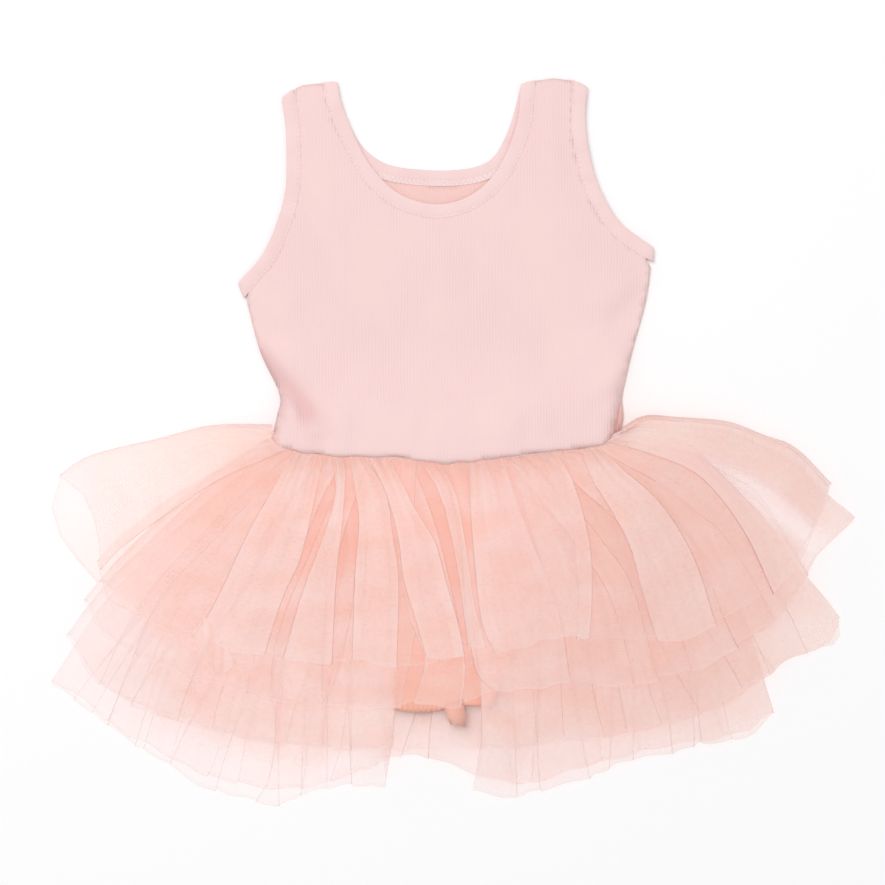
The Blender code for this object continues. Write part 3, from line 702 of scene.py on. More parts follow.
# One number for each tier: how much a fold shows and fades towards the hem, how much the hem and the pleats' tops
# show (a top is denser, and paler as painted light), how deep the painted shade is under a pleat, how much closer
# the net is all over, how far pleats open at the hem, and how far up the hem thins and by how much.
FOLD_SHOWS = (0.7, 0.32, 0.18, 0.2)
FOLD_FADES = (0.25, 0.5, 0.5, 0.35)
HEM_MARK = (0.55, 0.4, 0.35, 0.4)
TOP_SHOWS = (1.0, 0.4, 0.3, 0.3)
UNDER_SHOWS = (1.0, 0.7, 0.3, 0.3)
CLOSER = (0.0, 0.1, 0.14, 0.1)
PLEATS_OPEN = (0.3, 0.8, 0.85, 0.85)
HEM_THINS_FROM = (16.0, 18.0, 24.0, 46.0)
HEM_THINS_BY = (0.1, 0.15, 0.2, 0.27)
PLEAT_HEIGHT = 2.4


def ovals(index, points, places):
    """How far a tier's points lie in these soft ovals."""
    found = np.zeros(len(points))
    for middle, half, side, turn, amount, tiers in places:
        if index not in tiers:
            continue
        away = points - np.array(middle)
        cosine, sine = math.cos(math.radians(turn)), math.sin(math.radians(turn))
        near = np.hypot((away[:, 0] * cosine + away[:, 1] * sine) / half,
                        (away[:, 1] * cosine - away[:, 0] * sine) / side)
        found = np.maximum(found, amount * ease(1.6 - near))
    return found


# Small creases in tier 1's front, drawn as painted shade: the line, its half width, and how much it shows.
SMALL_CREASES = [
    ([(30.0, -14.0), (33.0, -34.0), (41.0, -54.0), (48.0, -69.0)], 1.8, 1.0),
    ([(46.0, -62.0), (56.0, -80.0), (70.0, -86.0)], 1.8, 0.9),
    ([(38.0, -44.0), (46.0, -66.0), (58.0, -78.0)], 1.8, 0.7),
    ([(24.0, -82.0), (40.0, -90.0), (60.0, -92.0)], 2.2, 0.4),
    ([(58.0, -10.0), (68.0, -34.0), (76.0, -62.0)], 2.0, 0.5),
    ([(19.0, -12.0), (20.0, -36.0), (22.0, -60.0)], 2.0, 0.5),
    ([(-158.0, -112.0), (-150.0, -106.0), (-138.0, -120.0), (-131.0, -128.0)], 1.8, 0.8),
    ([(-88.0, -8.0), (-97.0, -40.0), (-112.0, -78.0)], 2.2, 0.5),
    ([(108.0, 4.0), (150.0, -7.0), (186.0, -20.0), (216.0, -44.0), (227.0, -62.0)], 2.2, 0.7),
    ([(120.0, 0.0), (157.5, -16.0), (174.6, -31.4), (191.7, -48.5), (209.0, -72.0)], 2.2, 0.7),
    ([(96.0, -4.0), (124.0, -26.0), (148.0, -58.0), (160.0, -84.0)], 2.2, 0.5),
    ([(-112.0, -4.0), (-150.0, -14.0), (-192.0, -30.0)], 2.4, 0.5),
    ([(-105.0, -10.0), (-128.0, -32.0), (-152.0, -66.0), (-166.0, -92.0)], 2.4, 0.5),
]


def small_creases(points):
    """How strongly a small crease's painted shade shows at each point, from 0 to 1."""
    found = np.zeros(len(points))
    for line, half, amount in SMALL_CREASES:
        chain = smooth(line, 6.0)
        away = distance_to(points, chain)
        ends = np.minimum(np.linalg.norm(points - chain[0], axis=1), np.linalg.norm(points - chain[-1], axis=1))
        found = np.maximum(found, amount * np.exp(-(away / half) ** 2) * ease(ends / 14.0 + 0.2))
    return found


def fold_lines(index, front, back, rise):
    """The fold lines all round a tier: each one's plan, height, level and half. front runs from -X to +X, and back
    the same way below it."""
    pleat = PLEAT_HEIGHT * rise
    opened = 1.0 - PLEATS_OPEN[index] * ease((DOWN - 0.4) / 0.5)
    found = []
    for line, level in front:
        found.append((line, front_height(index, line, pleat) + level * (0.5 + pleat * opened), level, "front"))
    for line, level in back[::-1]:
        found.append((line, back_height(index, line) + level * (0.35 + 0.75 * rise), level, "back"))
    return found


def side_fold(this, after):
    """The columns of cloth that turn from one half of a tier to the other. A column is its plan, its height, how
    much of a fold it is, the step to the next one, and how far on top of a pleat it lies."""
    (line, z, _, half), (next_line, next_z, _, _) = this, after
    run = np.gradient(line, axis=0)
    run /= np.linalg.norm(run, axis=1)[:, None]
    out = np.column_stack([-run[:, 1], run[:, 0]]) * (1.0 if half == "front" else -1.0)
    bulge = np.minimum(np.abs(z - next_z) * 0.5, 3.0)
    found = []
    for share in (0.0, 0.12, 0.3, 0.5, 0.7, 0.88):
        plan = line * (1 - share) + next_line * share + out * (bulge * math.sin(math.pi * share))[:, None]
        height = z + (next_z - z) * (0.5 - 0.5 * math.cos(math.pi * share))
        found.append((plan, height, 0.5 if share == 0.5 else 0.1, 1.2, 0.5))
    return found


def strip(hem, this, after, puff, rise):
    """The columns of cloth from one fold line to the next in the same half."""
    (line, z, level, half), (next_line, next_z, next_level, _) = this, after
    on_top = level > 0.8 and next_level > 0.8
    span = np.linalg.norm(line - next_line, axis=1)
    width = float(span.mean())
    crown = np.minimum(span * 0.055, puff) * rise
    shares = strip_shares(width, on_top)
    here, there = hem_share(hem, line[-1]), hem_share(hem, next_line[-1])
    ends = at(hem, np.array([here, there]))
    found = []
    for share, step in zip(shares, np.diff(np.append(shares, 1.0)) * width):
        # Between two folds the hem keeps to the tier's own curve.
        bow = at(hem, np.array([here + (there - here) * share]))[0]
        bow = bow - ends[0] * (1 - share) - ends[1] * share
        plan = line * (1 - share) + next_line * share + bow * (DOWN ** 1.3)[:, None]
        if on_top:
            height = z + (next_z - z) * share + crown * math.sin(math.pi * share) ** 0.8
            top = 1.0
        else:
            height = z + (next_z - z) * float(ease(share))
            top = float(level * (1 - share) + next_level * share) * 0.6
        fold = 0.0
        if share == 0.0 and level > 0.9:
            fold = 1.0 if half == "front" else 0.4
        elif share == 0.0 and level < 0.1:
            fold = 0.2
        found.append((plan, height, fold, step, top))
    return found


def hem_share(hem, point):
    """The share of a hem that lies nearest a point."""
    steps = 800
    return np.argmin(np.linalg.norm(at(hem, np.linspace(0.0, 1.0, steps + 1)) - point, axis=1)) / steps


def softened(fold):
    """A fold shows softly: half as much beside it, and a little further off."""
    beside_fold = np.maximum(np.roll(fold, 1), np.roll(fold, -1))
    off_fold = np.maximum(np.roll(fold, 2), np.roll(fold, -2))
    return np.maximum(fold, np.maximum(0.5 * beside_fold, 0.16 * off_fold))


def rippled(z, fold, across, down, rng):
    """The heights with fine gathers near the waist and a slower ripple along the hem."""
    phase = across / MM * (2 * math.pi / 4.6) + np.cumsum(rng.normal(0.0, 0.25, len(z)))
    z = z + 0.75 * np.sin(phase)[:, None] * (np.exp(-down / 15.0) * np.minimum(down / 3.0, 1.0))[None, :]
    slow = across / MM * (2 * math.pi / 23.0)
    z = z + 0.5 * np.sin(slow)[:, None] * (DOWN ** 3)[None, :] * (fold < 0.9)[:, None]
    return np.maximum(z - 0.7 * np.exp(-down / 3.0)[None, :], 0.25)


def cut_by_hand(plan, across):
    """The plan with a hem that wavers a little."""
    waver = 1.1 * np.sin(across / MM * 0.11) + 0.8 * np.sin(across / MM * 0.31 + 1.0)
    run = plan[:, -1] - plan[:, -3]
    run /= np.maximum(np.linalg.norm(run, axis=1)[:, None], 1e-6)
    return plan + (run * waver[:, None])[:, None, :] * (DOWN ** 6)[None, :, None]


def gathering(plan, down):
    """How much closer the cloth is gathered at each point than at its hem."""
    gaps = np.linalg.norm(np.roll(plan, -1, axis=0) - plan, axis=2) + 0.05
    gaps = (gaps + np.roll(gaps, 1, axis=0)) / 2
    close = np.clip(gaps[:, -1:] / gaps, 1.0, 4.0) - 1.0
    kernel = np.ones(15) / 15
    close = np.array([np.convolve(np.concatenate([row[-7:], row, row[:7]]), kernel, "valid") for row in close.T]).T
    return 0.55 * close * (1.0 - ease(down / 70.0))[None, :]


def tier_marks(index, plan, fold, tops, down, length, front_count):
    """The named numbers that tulle() reads, as one row for each column of cloth."""
    def at_points(found, *more):
        return found(*more).reshape(plan.shape[:2])

    points = plan.reshape(-1, 2)
    crowded = at_points(ovals, index, points, CROWDED_PLACES)
    thin = at_points(ovals, index, points, THIN_PLACES)
    thin_hem = HEM_THINS_BY[index] * ease(1.0 - (length - down) / HEM_THINS_FROM[index])
    fade = np.clip(down / 12.0, 0.25, 1.0) * FOLD_SHOWS[index] * (1.0 - FOLD_FADES[index] * DOWN ** 2)
    folds = fold[:, None] * fade[None, :]
    if index == 0:
        # Tier 1's small creases add painted shade to its front's fold mark.
        shown = (np.arange(len(plan)) < front_count)[:, None] * ease(down / 20.0)[None, :]
        folds = np.maximum(folds, np.clip(at_points(small_creases, points) * shown, 0.0, 0.8))
    folds[:, -1] = np.maximum(folds[:, -1], HEM_MARK[index])
    # Net deep under a pleat gets painted shade, and bunched net a deeper colour. On a pleat's top the net is
    # denser and paler as painted light.
    deep = (1.0 - tops)[:, None] * (np.exp(-((down - 42.0) / 46.0) ** 2) * UNDER_SHOWS[index])[None, :]
    return {
        "fold": folds,
        "dense": gathering(plan, down) + crowded + CLOSER[index],
        "thin": np.clip(np.maximum(thin, thin_hem[None, :]), 0.0, 1.0),
        "deep": np.maximum(deep, crowded * 0.35),
        "top": tops[:, None] * ease(down / 20.0)[None, :] * TOP_SHOWS[index],
    }


def build_tier(index, front, back, material, puff, seed):
    """One tube of cloth from its two halves' paths."""
    fan = FANS[index]
    down = DOWN * fan.length
    rise = np.minimum(down / 54.0, 1.0)
    lines = fold_lines(index, front, back, rise)
    columns = []
    for this, after in zip(lines, lines[1:] + lines[:1]):
        if this[3] == "front":
            front_count = len(columns) + 1
        if this[3] == after[3]:
            columns += strip(fan.hems[this[3]], this, after, puff, rise)
        else:
            columns += side_fold(this, after)
    plan, z, fold, steps, tops = (np.array(values) for values in zip(*columns))
    fold = softened(fold)
    across = np.cumsum(steps) * MM
    plan = cut_by_hand(plan, across)
    z = rippled(z, fold, across, down, np.random.default_rng(seed))
    marks = tier_marks(index, plan, fold, tops, down, fan.length, front_count)
    rows, total = len(DOWN), len(plan)
    uv = np.dstack(np.broadcast_arrays(across[:, None], (down * MM)[None, :]))
    faces = []
    for i in range(total):
        j = (i + 1) % total
        for row in range(rows - 1):
            faces.append((i * rows + row, i * rows + row + 1, j * rows + row + 1, j * rows + row))
    made = piece(f"tulle_tier_{index + 1}", np.dstack([plan, z]).reshape(-1, 3), faces, material,
                 uv.reshape(-1, 2), {name: values.ravel() for name, values in marks.items()})
    # Light scatters on through net, so one layer doesn't darken the next.
    made.visible_shadow = False
    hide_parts(f"tier_{index + 1}")
    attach(made, "root")


# How the front of each tier is laid: the pleats placed one by one, from their left edge to their right one (None
# is the tier's side fold), and the irregular ones beside them, as a count, the shares of the width between which
# they lie, and their gap. "parting" has the two hidden folds at the parting, before and after that pleat.
FRONTS = [
    {
        "seed": 11,
        "pleats": [
            (None, [(-101.0, -4.0), (-120.0, -12.0), (-144.5, -23.4), (-178.0, -46.0), (-201.4, -63.5),
                    (-214.0, -77.0)]),
            ([(-97.0, -5.0), (-107.7, -25.0), (-124.4, -55.1), (-144.5, -97.0), (-157.9, -117.5)],
             [(-79.0, -6.5), (-82.6, -28.4), (-91.0, -66.9), (-102.7, -93.6), (-114.0, -128.0)]),
            ([(-73.0, -6.6), (-70.9, -28.4), (-76.0, -50.0), (-91.0, -90.0), (-103.2, -131.3)],
             [(-67.6, -7.5), (-65.0, -18.3), (-66.7, -48.5), (-70.0, -80.0), (-72.6, -131.6)]),
            ([(-62.5, -7.5), (-59.2, -28.4), (-56.7, -46.8), (-59.2, -80.0), (-60.9, -131.0)],
             [(-54.5, -7.5), (-40.8, -28.4), (-35.8, -56.8), (-32.4, -82.0), (-33.6, -135.4)]),
            ([(-51.5, -7.5), (-40.0, -31.7), (-33.0, -56.8), (-29.8, -82.0), (-22.0, -108.0),
              (-15.9, -129.7)],
             [(-38.0, -7.5), (-24.0, -36.7), (-10.7, -58.5), (-4.0, -82.0), (4.4, -112.0), (7.7, -130.0)]),
            ([(-20.0, -9.5), (-8.0, -30.0), (0.0, -60.0), (5.0, -90.0), (9.0, -120.0)],
             [(-8.0, -11.0), (2.0, -30.0), (8.0, -60.0), (13.0, -95.0), (21.0, -124.5)]),
            ([(10.0, -10.0), (10.5, -35.0), (13.0, -70.0), (17.4, -107.4), (25.3, -126.0)],
             [(63.0, -4.5), (74.0, -25.0), (83.0, -60.0), (84.5, -90.0), (83.0, -116.0)]),
            ([(77.0, -3.5), (85.5, -23.0), (97.0, -42.0), (107.0, -62.0), (113.0, -83.0), (124.0, -120.0)],
             [(88.0, -1.0), (104.0, -16.0), (126.0, -36.0), (146.0, -68.0), (160.0, -110.0)]),
            ([(93.0, 1.5), (120.0, -6.0), (150.0, -20.0), (176.0, -52.0), (194.0, -90.0)], None),
        ],
        "depths": [9.0, 14.0, 8.0, 7.0, 10.0, 8.0, 12.0],
        "opens": 0.25,
    },
    {
        "seed": 22,
        "left": (4, 0.07, 0.42, 0.25),
        "pleats": [
            ([(-44.0, -8.0), (-36.0, -50.0), (-28.0, -100.0), (-17.0, -130.0), (-23.5, -157.0)],
             [(-26.0, -9.0), (-10.0, -50.0), (2.0, -100.0), (7.8, -134.0), (5.5, -158.5)]),
            ([(-6.0, -12.0), (4.0, -50.0), (8.0, -100.0), (14.8, -138.0), (26.0, -150.5)],
             [(30.0, -8.0), (45.0, -50.0), (64.0, -100.0), (72.0, -146.0)]),
        ],
        "right": (3, 0.66, 0.94),
        "depths": [8.0, 12.0, 9.0],
        "opens": 0.85,
    },
    {
        "seed": 33,
        "left": (4, 0.04, 0.36),
        "pleats": [
            ([(-66.0, -8.0), (-64.0, -60.0), (-62.0, -120.0), (-62.0, -186.0)],
             [(-48.0, -8.0), (-40.0, -60.0), (-35.5, -120.0), (-36.0, -186.0)]),
            ([(-4.0, -12.0), (6.0, -60.0), (12.0, -110.0), (16.5, -140.0), (18.0, -184.0)],
             [(20.0, -10.0), (34.0, -60.0), (46.0, -120.0), (52.0, -183.0)]),
        ],
        "right": (4, 0.62, 0.96),
        "depths": [9.0, 12.0, 7.0],
        "opens": 0.95,
        "parting": (1, [(-58.0, -8.0), (-52.0, -50.0), (-48.0, -90.0), (-46.0, -128.0)],
                    [(4.0, -11.0), (14.0, -50.0), (22.0, -90.0), (28.0, -128.0)]),
    },
    {
        "seed": 44,
        "left": (4, 0.04, 0.27),
        "pleats": [
            ([(-92.0, -6.0), (-104.0, -70.0), (-110.0, -150.0), (-108.5, -176.0), (-113.0, -205.0),
              (-122.0, -221.0)],
             [(-88.0, -6.0), (-98.0, -70.0), (-104.0, -150.0), (-106.0, -176.0), (-106.5, -200.0),
              (-106.0, -222.5)]),
            ([(-78.0, -7.0), (-84.0, -80.0), (-90.0, -150.0), (-93.0, -214.0)],
             [(-72.0, -7.0), (-74.0, -80.0), (-76.0, -150.0), (-77.0, -211.5)]),
            ([(-66.0, -7.0), (-66.0, -80.0), (-64.0, -150.0), (-62.0, -210.5)],
             [(-50.0, -8.0), (-40.0, -60.0), (-34.5, -120.0), (-35.0, -165.0), (-41.0, -209.0)]),
            ([(-2.0, -12.0), (8.0, -60.0), (14.0, -120.0), (17.5, -150.0), (17.0, -186.0), (12.3, -213.5)],
             [(18.0, -10.0), (26.0, -70.0), (36.0, -140.0), (40.0, -216.0)]),
        ],
        "right": (4, 0.66, 0.96),
        "depths": [9.0, 12.0, 7.0],
        "opens": 0.95,
        "parting": (3, [(-58.0, -8.0), (-52.0, -50.0), (-48.0, -90.0), (-47.0, -126.0)],
                    [(4.0, -11.0), (14.0, -50.0), (22.0, -90.0), (28.0, -126.0)]),
    },
]
BACKS = [(5, 0.12, 0.9, 0.25), (5, 0.12, 0.9, 0.25), (5, 0.12, 0.9, 0.25), (6, 0.06, 0.94, 0.25)]
BACK_DEPTHS = [(8.0, 6.0), (8.0, 6.0), (8.0, 6.0), (9.0, 7.0)]


def lay_tier(index):
    """The paths of a tier's front and back halves."""
    fan, laid = FANS[index], FRONTS[index]
    rng = np.random.default_rng(laid["seed"])
    left, right = along(fan.left, DOWN), along(fan.right, DOWN)
    panels = random_panels(fan, "front", rng, *laid["left"]) if "left" in laid else []
    lows = {}
    if "parting" in laid:
        place, before, after = laid["parting"]
        place += len(panels)
        lows = {("right", place - 1): curve(before), ("left", place): curve(after)}
    panels += [(left if a is None else curve(a), right if b is None else curve(b)) for a, b in laid["pleats"]]
    if "right" in laid:
        panels += random_panels(fan, "front", rng, *laid["right"])
    front = folded(panels, left, right, laid["depths"], lows, laid["opens"])
    back = folded(random_panels(fan, "back", rng, *BACKS[index]), left, right, BACK_DEPTHS[index], {}, 0.95)
    return front, back


# The corner of tier 1's wide left pleat, which is turned back over its hem: the turned edge, then the tip's.
TURNED_CORNER = [(-158.5, -115.5), (-150.0, -104.5), (-130.5, -133.5), (-141.5, -142.0)]


def corner_flap(cloth):
    """The turned corner, as a small sheet that starts on the pleat and hangs past its hem."""
    count = 12
    a, b, c, d = np.array(TURNED_CORNER)
    plan, z, fold = [], [], []
    for i in range(count + 1):
        for j in range(count + 1):
            across, down = i / count, j / count
            bow = math.sin(math.pi * across)
            point = (a * (1 - across) + b * across) * (1 - down) + (d * (1 - across) + c * across) * down
            plan.append(point + np.array([-2.0, -1.0]) * bow * down)
            z.append(0.9 * bow - 2.6 * down * down)
            fold.append(0.6 if i in (0, count) else 0.35 if j in (0, count) else 0.0)
    plan = np.array(plan)
    height = front_height(0, plan, PLEAT_HEIGHT) + 3.4 + np.array(z)
    side = count + 1
    faces = [(i * side + j, i * side + j + 1, (i + 1) * side + j + 1, (i + 1) * side + j)
             for i in range(count) for j in range(count)]
    ones = np.ones(len(plan))
    # The flap is marked as a pleat's top: denser, and paler as painted light.
    made = piece("tulle_turned_corner", np.column_stack([plan, height]), faces, cloth, plan * MM, {
        "fold": fold, "dense": 0.1 * ones, "top": 0.9 * ones,
    })
    made.visible_shadow = False
    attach(made, "root")


# ---- the leotard ----

def rungs(edge, width, count):
    """A binding's outer line and stitch line."""
    line = even(smooth(edge, 2.0), count)
    return line, beside(line, width)


def bodice_plan(neck, scallop, side_right):
    """The closed edge of a bodice panel: waist, right side, armhole, strap, neck, strap, armhole, left side. The
    gathers push its waist in and out by scallop."""
    lap = BINDING_WIDTH - 1.2
    waist = even(smooth(WAIST, 3.0), 110)
    share = lengths_of(waist)
    puckers = 0.6 * np.abs(np.sin(share * math.pi / 19.0 + 1.3 * np.sin(share * 0.05)))
    waist[:, 1] -= scallop * (puckers + 0.15 * np.sin(share * 0.31) - 0.2)
    right_side = even(smooth(side_right, 3.0), 30)[::-1]
    left_side = even(smooth(SIDE_LEFT, 3.0), 30)
    right_arm = rungs(ARMHOLE_RIGHT, -lap, 44)[1][::-1]
    left_arm = rungs(ARMHOLE_LEFT, lap, 44)[1]
    neck_line = rungs(neck, -lap, 80)[1][::-1]
    right_top, left_top = (np.array(line[::-1]) + (0.0, 0.9) for line in (STRAP_RIGHT_TOP, STRAP_LEFT_TOP))
    return np.vstack([
        waist[:-1], right_side[:-1], right_arm[:-1], right_top, neck_line[1:-1], left_top, left_arm[1:],
        left_side[1:-1],
    ])


CREASE_HEIGHT = 2.6
# Creases of the front bodice: from, to, half width, and height as a share of CREASE_HEIGHT, below 0 for a trough.
CREASES = [
    ((-118.0, 62.0), (-92.0, 44.0), 8.0, 0.6),
    ((-122.0, 78.0), (-100.0, 60.0), 7.0, -0.6),
    ((104.0, 34.0), (82.0, 14.0), 9.0, -0.7),
    ((108.0, 50.0), (88.0, 34.0), 8.0, 0.6),
    ((112.0, 66.0), (60.0, 52.0), 12.0, 0.5),
    ((112.0, 100.0), (84.0, 84.0), 12.0, 0.5),
    ((118.0, 92.0), (96.0, 70.0), 8.0, -0.5),
    ((-84.0, 196.0), (-66.0, 150.0), 8.0, -0.5),
    ((60.0, 206.0), (66.0, 150.0), 9.0, 0.5),
    ((-60.0, -4.0), (-56.0, 22.0), 7.0, -0.6),
    ((-20.0, -7.0), (-14.0, 26.0), 8.0, -0.5),
    ((30.0, -5.0), (24.0, 22.0), 7.0, 0.6),
    ((70.0, -1.0), (62.0, 24.0), 8.0, -0.5),
    ((44.0, -4.0), (48.0, 18.0), 6.0, -0.5),
    ((-88.0, -2.0), (-84.0, 18.0), 6.0, 0.5),
]


# The pinch at the left of the waist, where the side seam turns in: each fold's line, half width and height.
PINCH = [
    ([(-119.0, 54.0), (-109.0, 41.5), (-99.0, 31.0), (-90.0, 20.0), (-82.0, 8.0)], 6.5, -4.4),
    ([(-108.5, 34.5), (-102.0, 27.0), (-97.5, 19.0), (-95.0, 8.0)], 3.6, 2.0),
    ([(-104.5, 28.0), (-103.2, 19.5), (-102.4, 9.0)], 3.0, -2.6),
]


def pinched(points):
    """How much the pinch lifts the front bodice at each point."""
    found = np.zeros(len(points))
    for line, half, height in PINCH:
        chain = smooth(line, 4.0)
        end = np.linalg.norm(points - chain[-1], axis=1)
        found += height * np.exp(-(distance_to(points, chain) / half) ** 2) * ease(end / 16.0 + 0.1)
    return found


def pinch_shade(points):
    """How much painted shade a point gets in the pinch's troughs, from 0 to 1."""
    return np.clip(-pinched(points) / 3.6, 0.0, 1.0)


def creased(points):
    """How much the creases lift the front bodice at each point."""
    found = np.zeros(len(points))
    for start, end, half, height in CREASES:
        a, b = np.array(start), np.array(end)
        run = b - a
        share = np.clip((points - a) @ run / (run @ run), 0.0, 1.0)
        away = np.linalg.norm(points - a - share[:, None] * run, axis=1)
        found += height * np.exp(-(away / half) ** 2 * 2.0) * np.sin(math.pi * np.clip(share * 0.8 + 0.15, 0, 1))
    return CREASE_HEIGHT * found


def bodice_front_height(points, outline):
    """The height of the front bodice: on the back at its edges, and over the gathers at the waist."""
    from_edge = distance_to(points, np.vstack([outline, outline[:1]]))
    from_waist = np.maximum(distance_to(points, waist_chain()) - WAIST_GAP, 0.0)
    from_side = np.minimum(*(distance_to(points, smooth(side, 6.0)) for side in (SIDE_LEFT, SIDE_RIGHT)))
    top = FLOOR_LEVEL + 4 * BACK_STEP + 2 * BRIEF_STEP + 3 * FRONT_STEP
    climb = (1.0 - ease(from_waist / 72.0)) * (top + 0.4 - FRONT_LEVEL)
    share = np.minimum(from_side / 11.0, 1.0)
    rounded = np.sqrt(np.maximum(0.0, 1.0 - (1.0 - share) ** 2))
    found = FRONT_LEVEL + 1.2 * ease(from_edge / 30.0) + climb * rounded
    found = np.maximum(found + creased(points) + pinched(points), FRONT_LEVEL - 0.2)
    # The waist edge rolls over the gathers.
    lip = np.clip(1.0 - from_waist / 3.2, 0.0, 1.0)
    return found + 0.7 * np.sin(math.pi * np.clip(from_waist / 6.0, 0, 1)) - 0.6 * lip ** 2


def panel(name, outline, height, spacing, material, shade=None):
    """A cloth panel cut to an outline, standing at height(points), in place of the node it's named for. shade says
    how much painted shade a point gets, held as its fold mark."""
    low, high = outline.min(axis=0), outline.max(axis=0)
    rows = int((high[1] - low[1]) / (spacing * 0.87)) + 1
    columns = int((high[0] - low[0]) / spacing) + 2
    grid = np.array([
        (low[0] + (c + 0.5 * (r % 2)) * spacing, low[1] + (r + 0.5) * spacing * 0.87)
        for r in range(rows) for c in range(columns)
    ])
    grid = grid[is_inside(grid, outline)]
    grid = grid[distance_to(grid, np.vstack([outline, outline[:1]])) > 0.45 * spacing]
    points = [Vector(p) for p in np.vstack([outline, grid])]
    edges = [(i, (i + 1) % len(outline)) for i in range(len(outline))]
    found, _, faces, *_ = delaunay_2d_cdt(points, edges, [], 1, 1e-5)
    plan = np.array([(p.x, p.y) for p in found])
    vertices = np.column_stack([plan, height(plan)])
    marks = {"fold": shade(plan)} if shade else None
    made = face_up(piece(name + "_cloth", vertices, faces, material, plan * MM, marks))
    thicken(made, 0.9)
    made.visible_shadow = "back" in name
    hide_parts(name)
    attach(made, "root")


def turned_end(line, inner, levels, turns):
    """The rungs that carry a binding round the end where its front half's lines start, one a turn in degrees."""
    low, high = levels
    out = (line[0] + inner[0]) - (line[1] + inner[1])
    out = out / np.linalg.norm(out)
    found = []
    for turn in turns:
        sine, cosine = math.sin(math.radians(turn)), math.cos(math.radians(turn))
        move = (high - low) / 2 * sine * out
        found.append((line[0] + move, inner[0] + move, (low + high) / 2 + (high - low) / 2 * cosine,
                      (out[0] * sine, out[1] * sine, cosine)))
    return found


def ring_rungs(front, back, levels):
    """A binding's rungs all round its opening, its front half above its back half: for each the edge, the
    stitch line, the height, and the way its outer face points."""
    low, high = levels
    line, inner = front
    found = [(a, b, high, (0.0, 0.0, 1.0)) for a, b in zip(line, inner)]
    found += turned_end(line[::-1], inner[::-1], levels, (45, 90, 135))
    found += [(a, b, low, (0.0, 0.0, -1.0)) for a, b in list(zip(*back))[::-1]]
    return found + turned_end(line, inner, levels, (135, 90, 45))


STITCH_GROOVE = 0.865
STITCH_LENGTH, STITCH_GAP = 1.9, 0.95
# A binding's cross-section: share of its width from the edge, and height over its middle, outer face first.
ROLL = [
    (-0.045, 0.0), (-0.03, 0.42), (0.03, 0.72), (0.14, 0.86), (0.35, 0.95), (0.6, 0.92), (0.8, 0.78),
    (STITCH_GROOVE, 0.5), (0.9, 0.72), (0.97, 0.66), (1.0, 0.3), (0.98, -0.3), (0.6, -0.45), (0.2, -0.5),
    (0.03, -0.42),
]


def bound_ring(name, ring, material, ripple=0.0):
    """A folded binding round an opening that lies flat, in place of the node it's named for."""
    vertices, uv = [], []
    travelled = 0.0
    for i, (edge, stitched, z, face) in enumerate(ring):
        travelled += float(np.linalg.norm(edge - ring[i - 1][0])) if i else 0.0
        lift = ripple * math.sin(travelled * 2 * math.pi / 3.0)
        for across, up in ROLL:
            place = edge + (stitched - edge) * across
            vertices.append((place[0] + face[0] * up, place[1] + face[1] * up,
                             max(z + face[2] * (up + (lift if up > 0.6 else 0.0)), 0.05)))
            uv.append((travelled * MM, across * 0.01))
    around = len(ROLL)
    faces = []
    for i in range(len(ring)):
        j = (i + 1) % len(ring)
        for k in range(around):
            m = (k + 1) % around
            faces.append((i * around + k, i * around + m, j * around + m, j * around + k))
    made = face_up(piece(name + "_roll", vertices, faces, material, uv))
    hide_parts(name)
    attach(made, "root")


def thread_pieces(name, runs, radius, material):
    """Threads as one mesh: each run is a chain of 3D points in mm, as a six-sided tube with closed ends."""
    vertices, faces = [], []
    for run in runs:
        run = np.asarray(run, float)
        direction = np.gradient(run, axis=0)
        direction /= np.maximum(np.linalg.norm(direction, axis=1)[:, None], 1e-9)
        first = len(vertices)
        for i, (point, way) in enumerate(zip(run, direction)):
            side = np.cross(way, (0.0, 0.0, 1.0))
            side /= max(np.linalg.norm(side), 1e-9)
            up = np.cross(side, way)
            wide = radius * (0.45 if i in (0, len(run) - 1) else 1.0)
            for turn in range(6):
                angle = turn * math.pi / 3
                vertices.append(point + wide * (side * math.cos(angle) + up * math.sin(angle)))
        for i in range(len(run) - 1):
            for turn in range(6):
                after = (turn + 1) % 6
                a = first + i * 6
                faces.append((a + turn, a + after, a + 6 + after, a + 6 + turn))
        faces.append(tuple(first + k for k in range(5, -1, -1)))
        faces.append(tuple(first + (len(run) - 1) * 6 + k for k in range(6)))
    made = face_up(piece(name, vertices, faces, material))
    made.visible_shadow = False
    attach(made, "root")


def stitches(line, height):
    """Dashes along a plan line, sunk a little at both ends."""
    total = lengths_of(line)[-1]
    runs = []
    place = STITCH_GAP
    while place + STITCH_LENGTH < total - STITCH_GAP:
        shares = np.linspace(place, place + STITCH_LENGTH, 5) / total
        plan = along(line, shares)
        sag = np.array([-0.25, 0.0, 0.06, 0.0, -0.25])
        runs.append(np.column_stack([plan, np.full(5, height) + sag]))
        place += STITCH_LENGTH + STITCH_GAP
    return runs


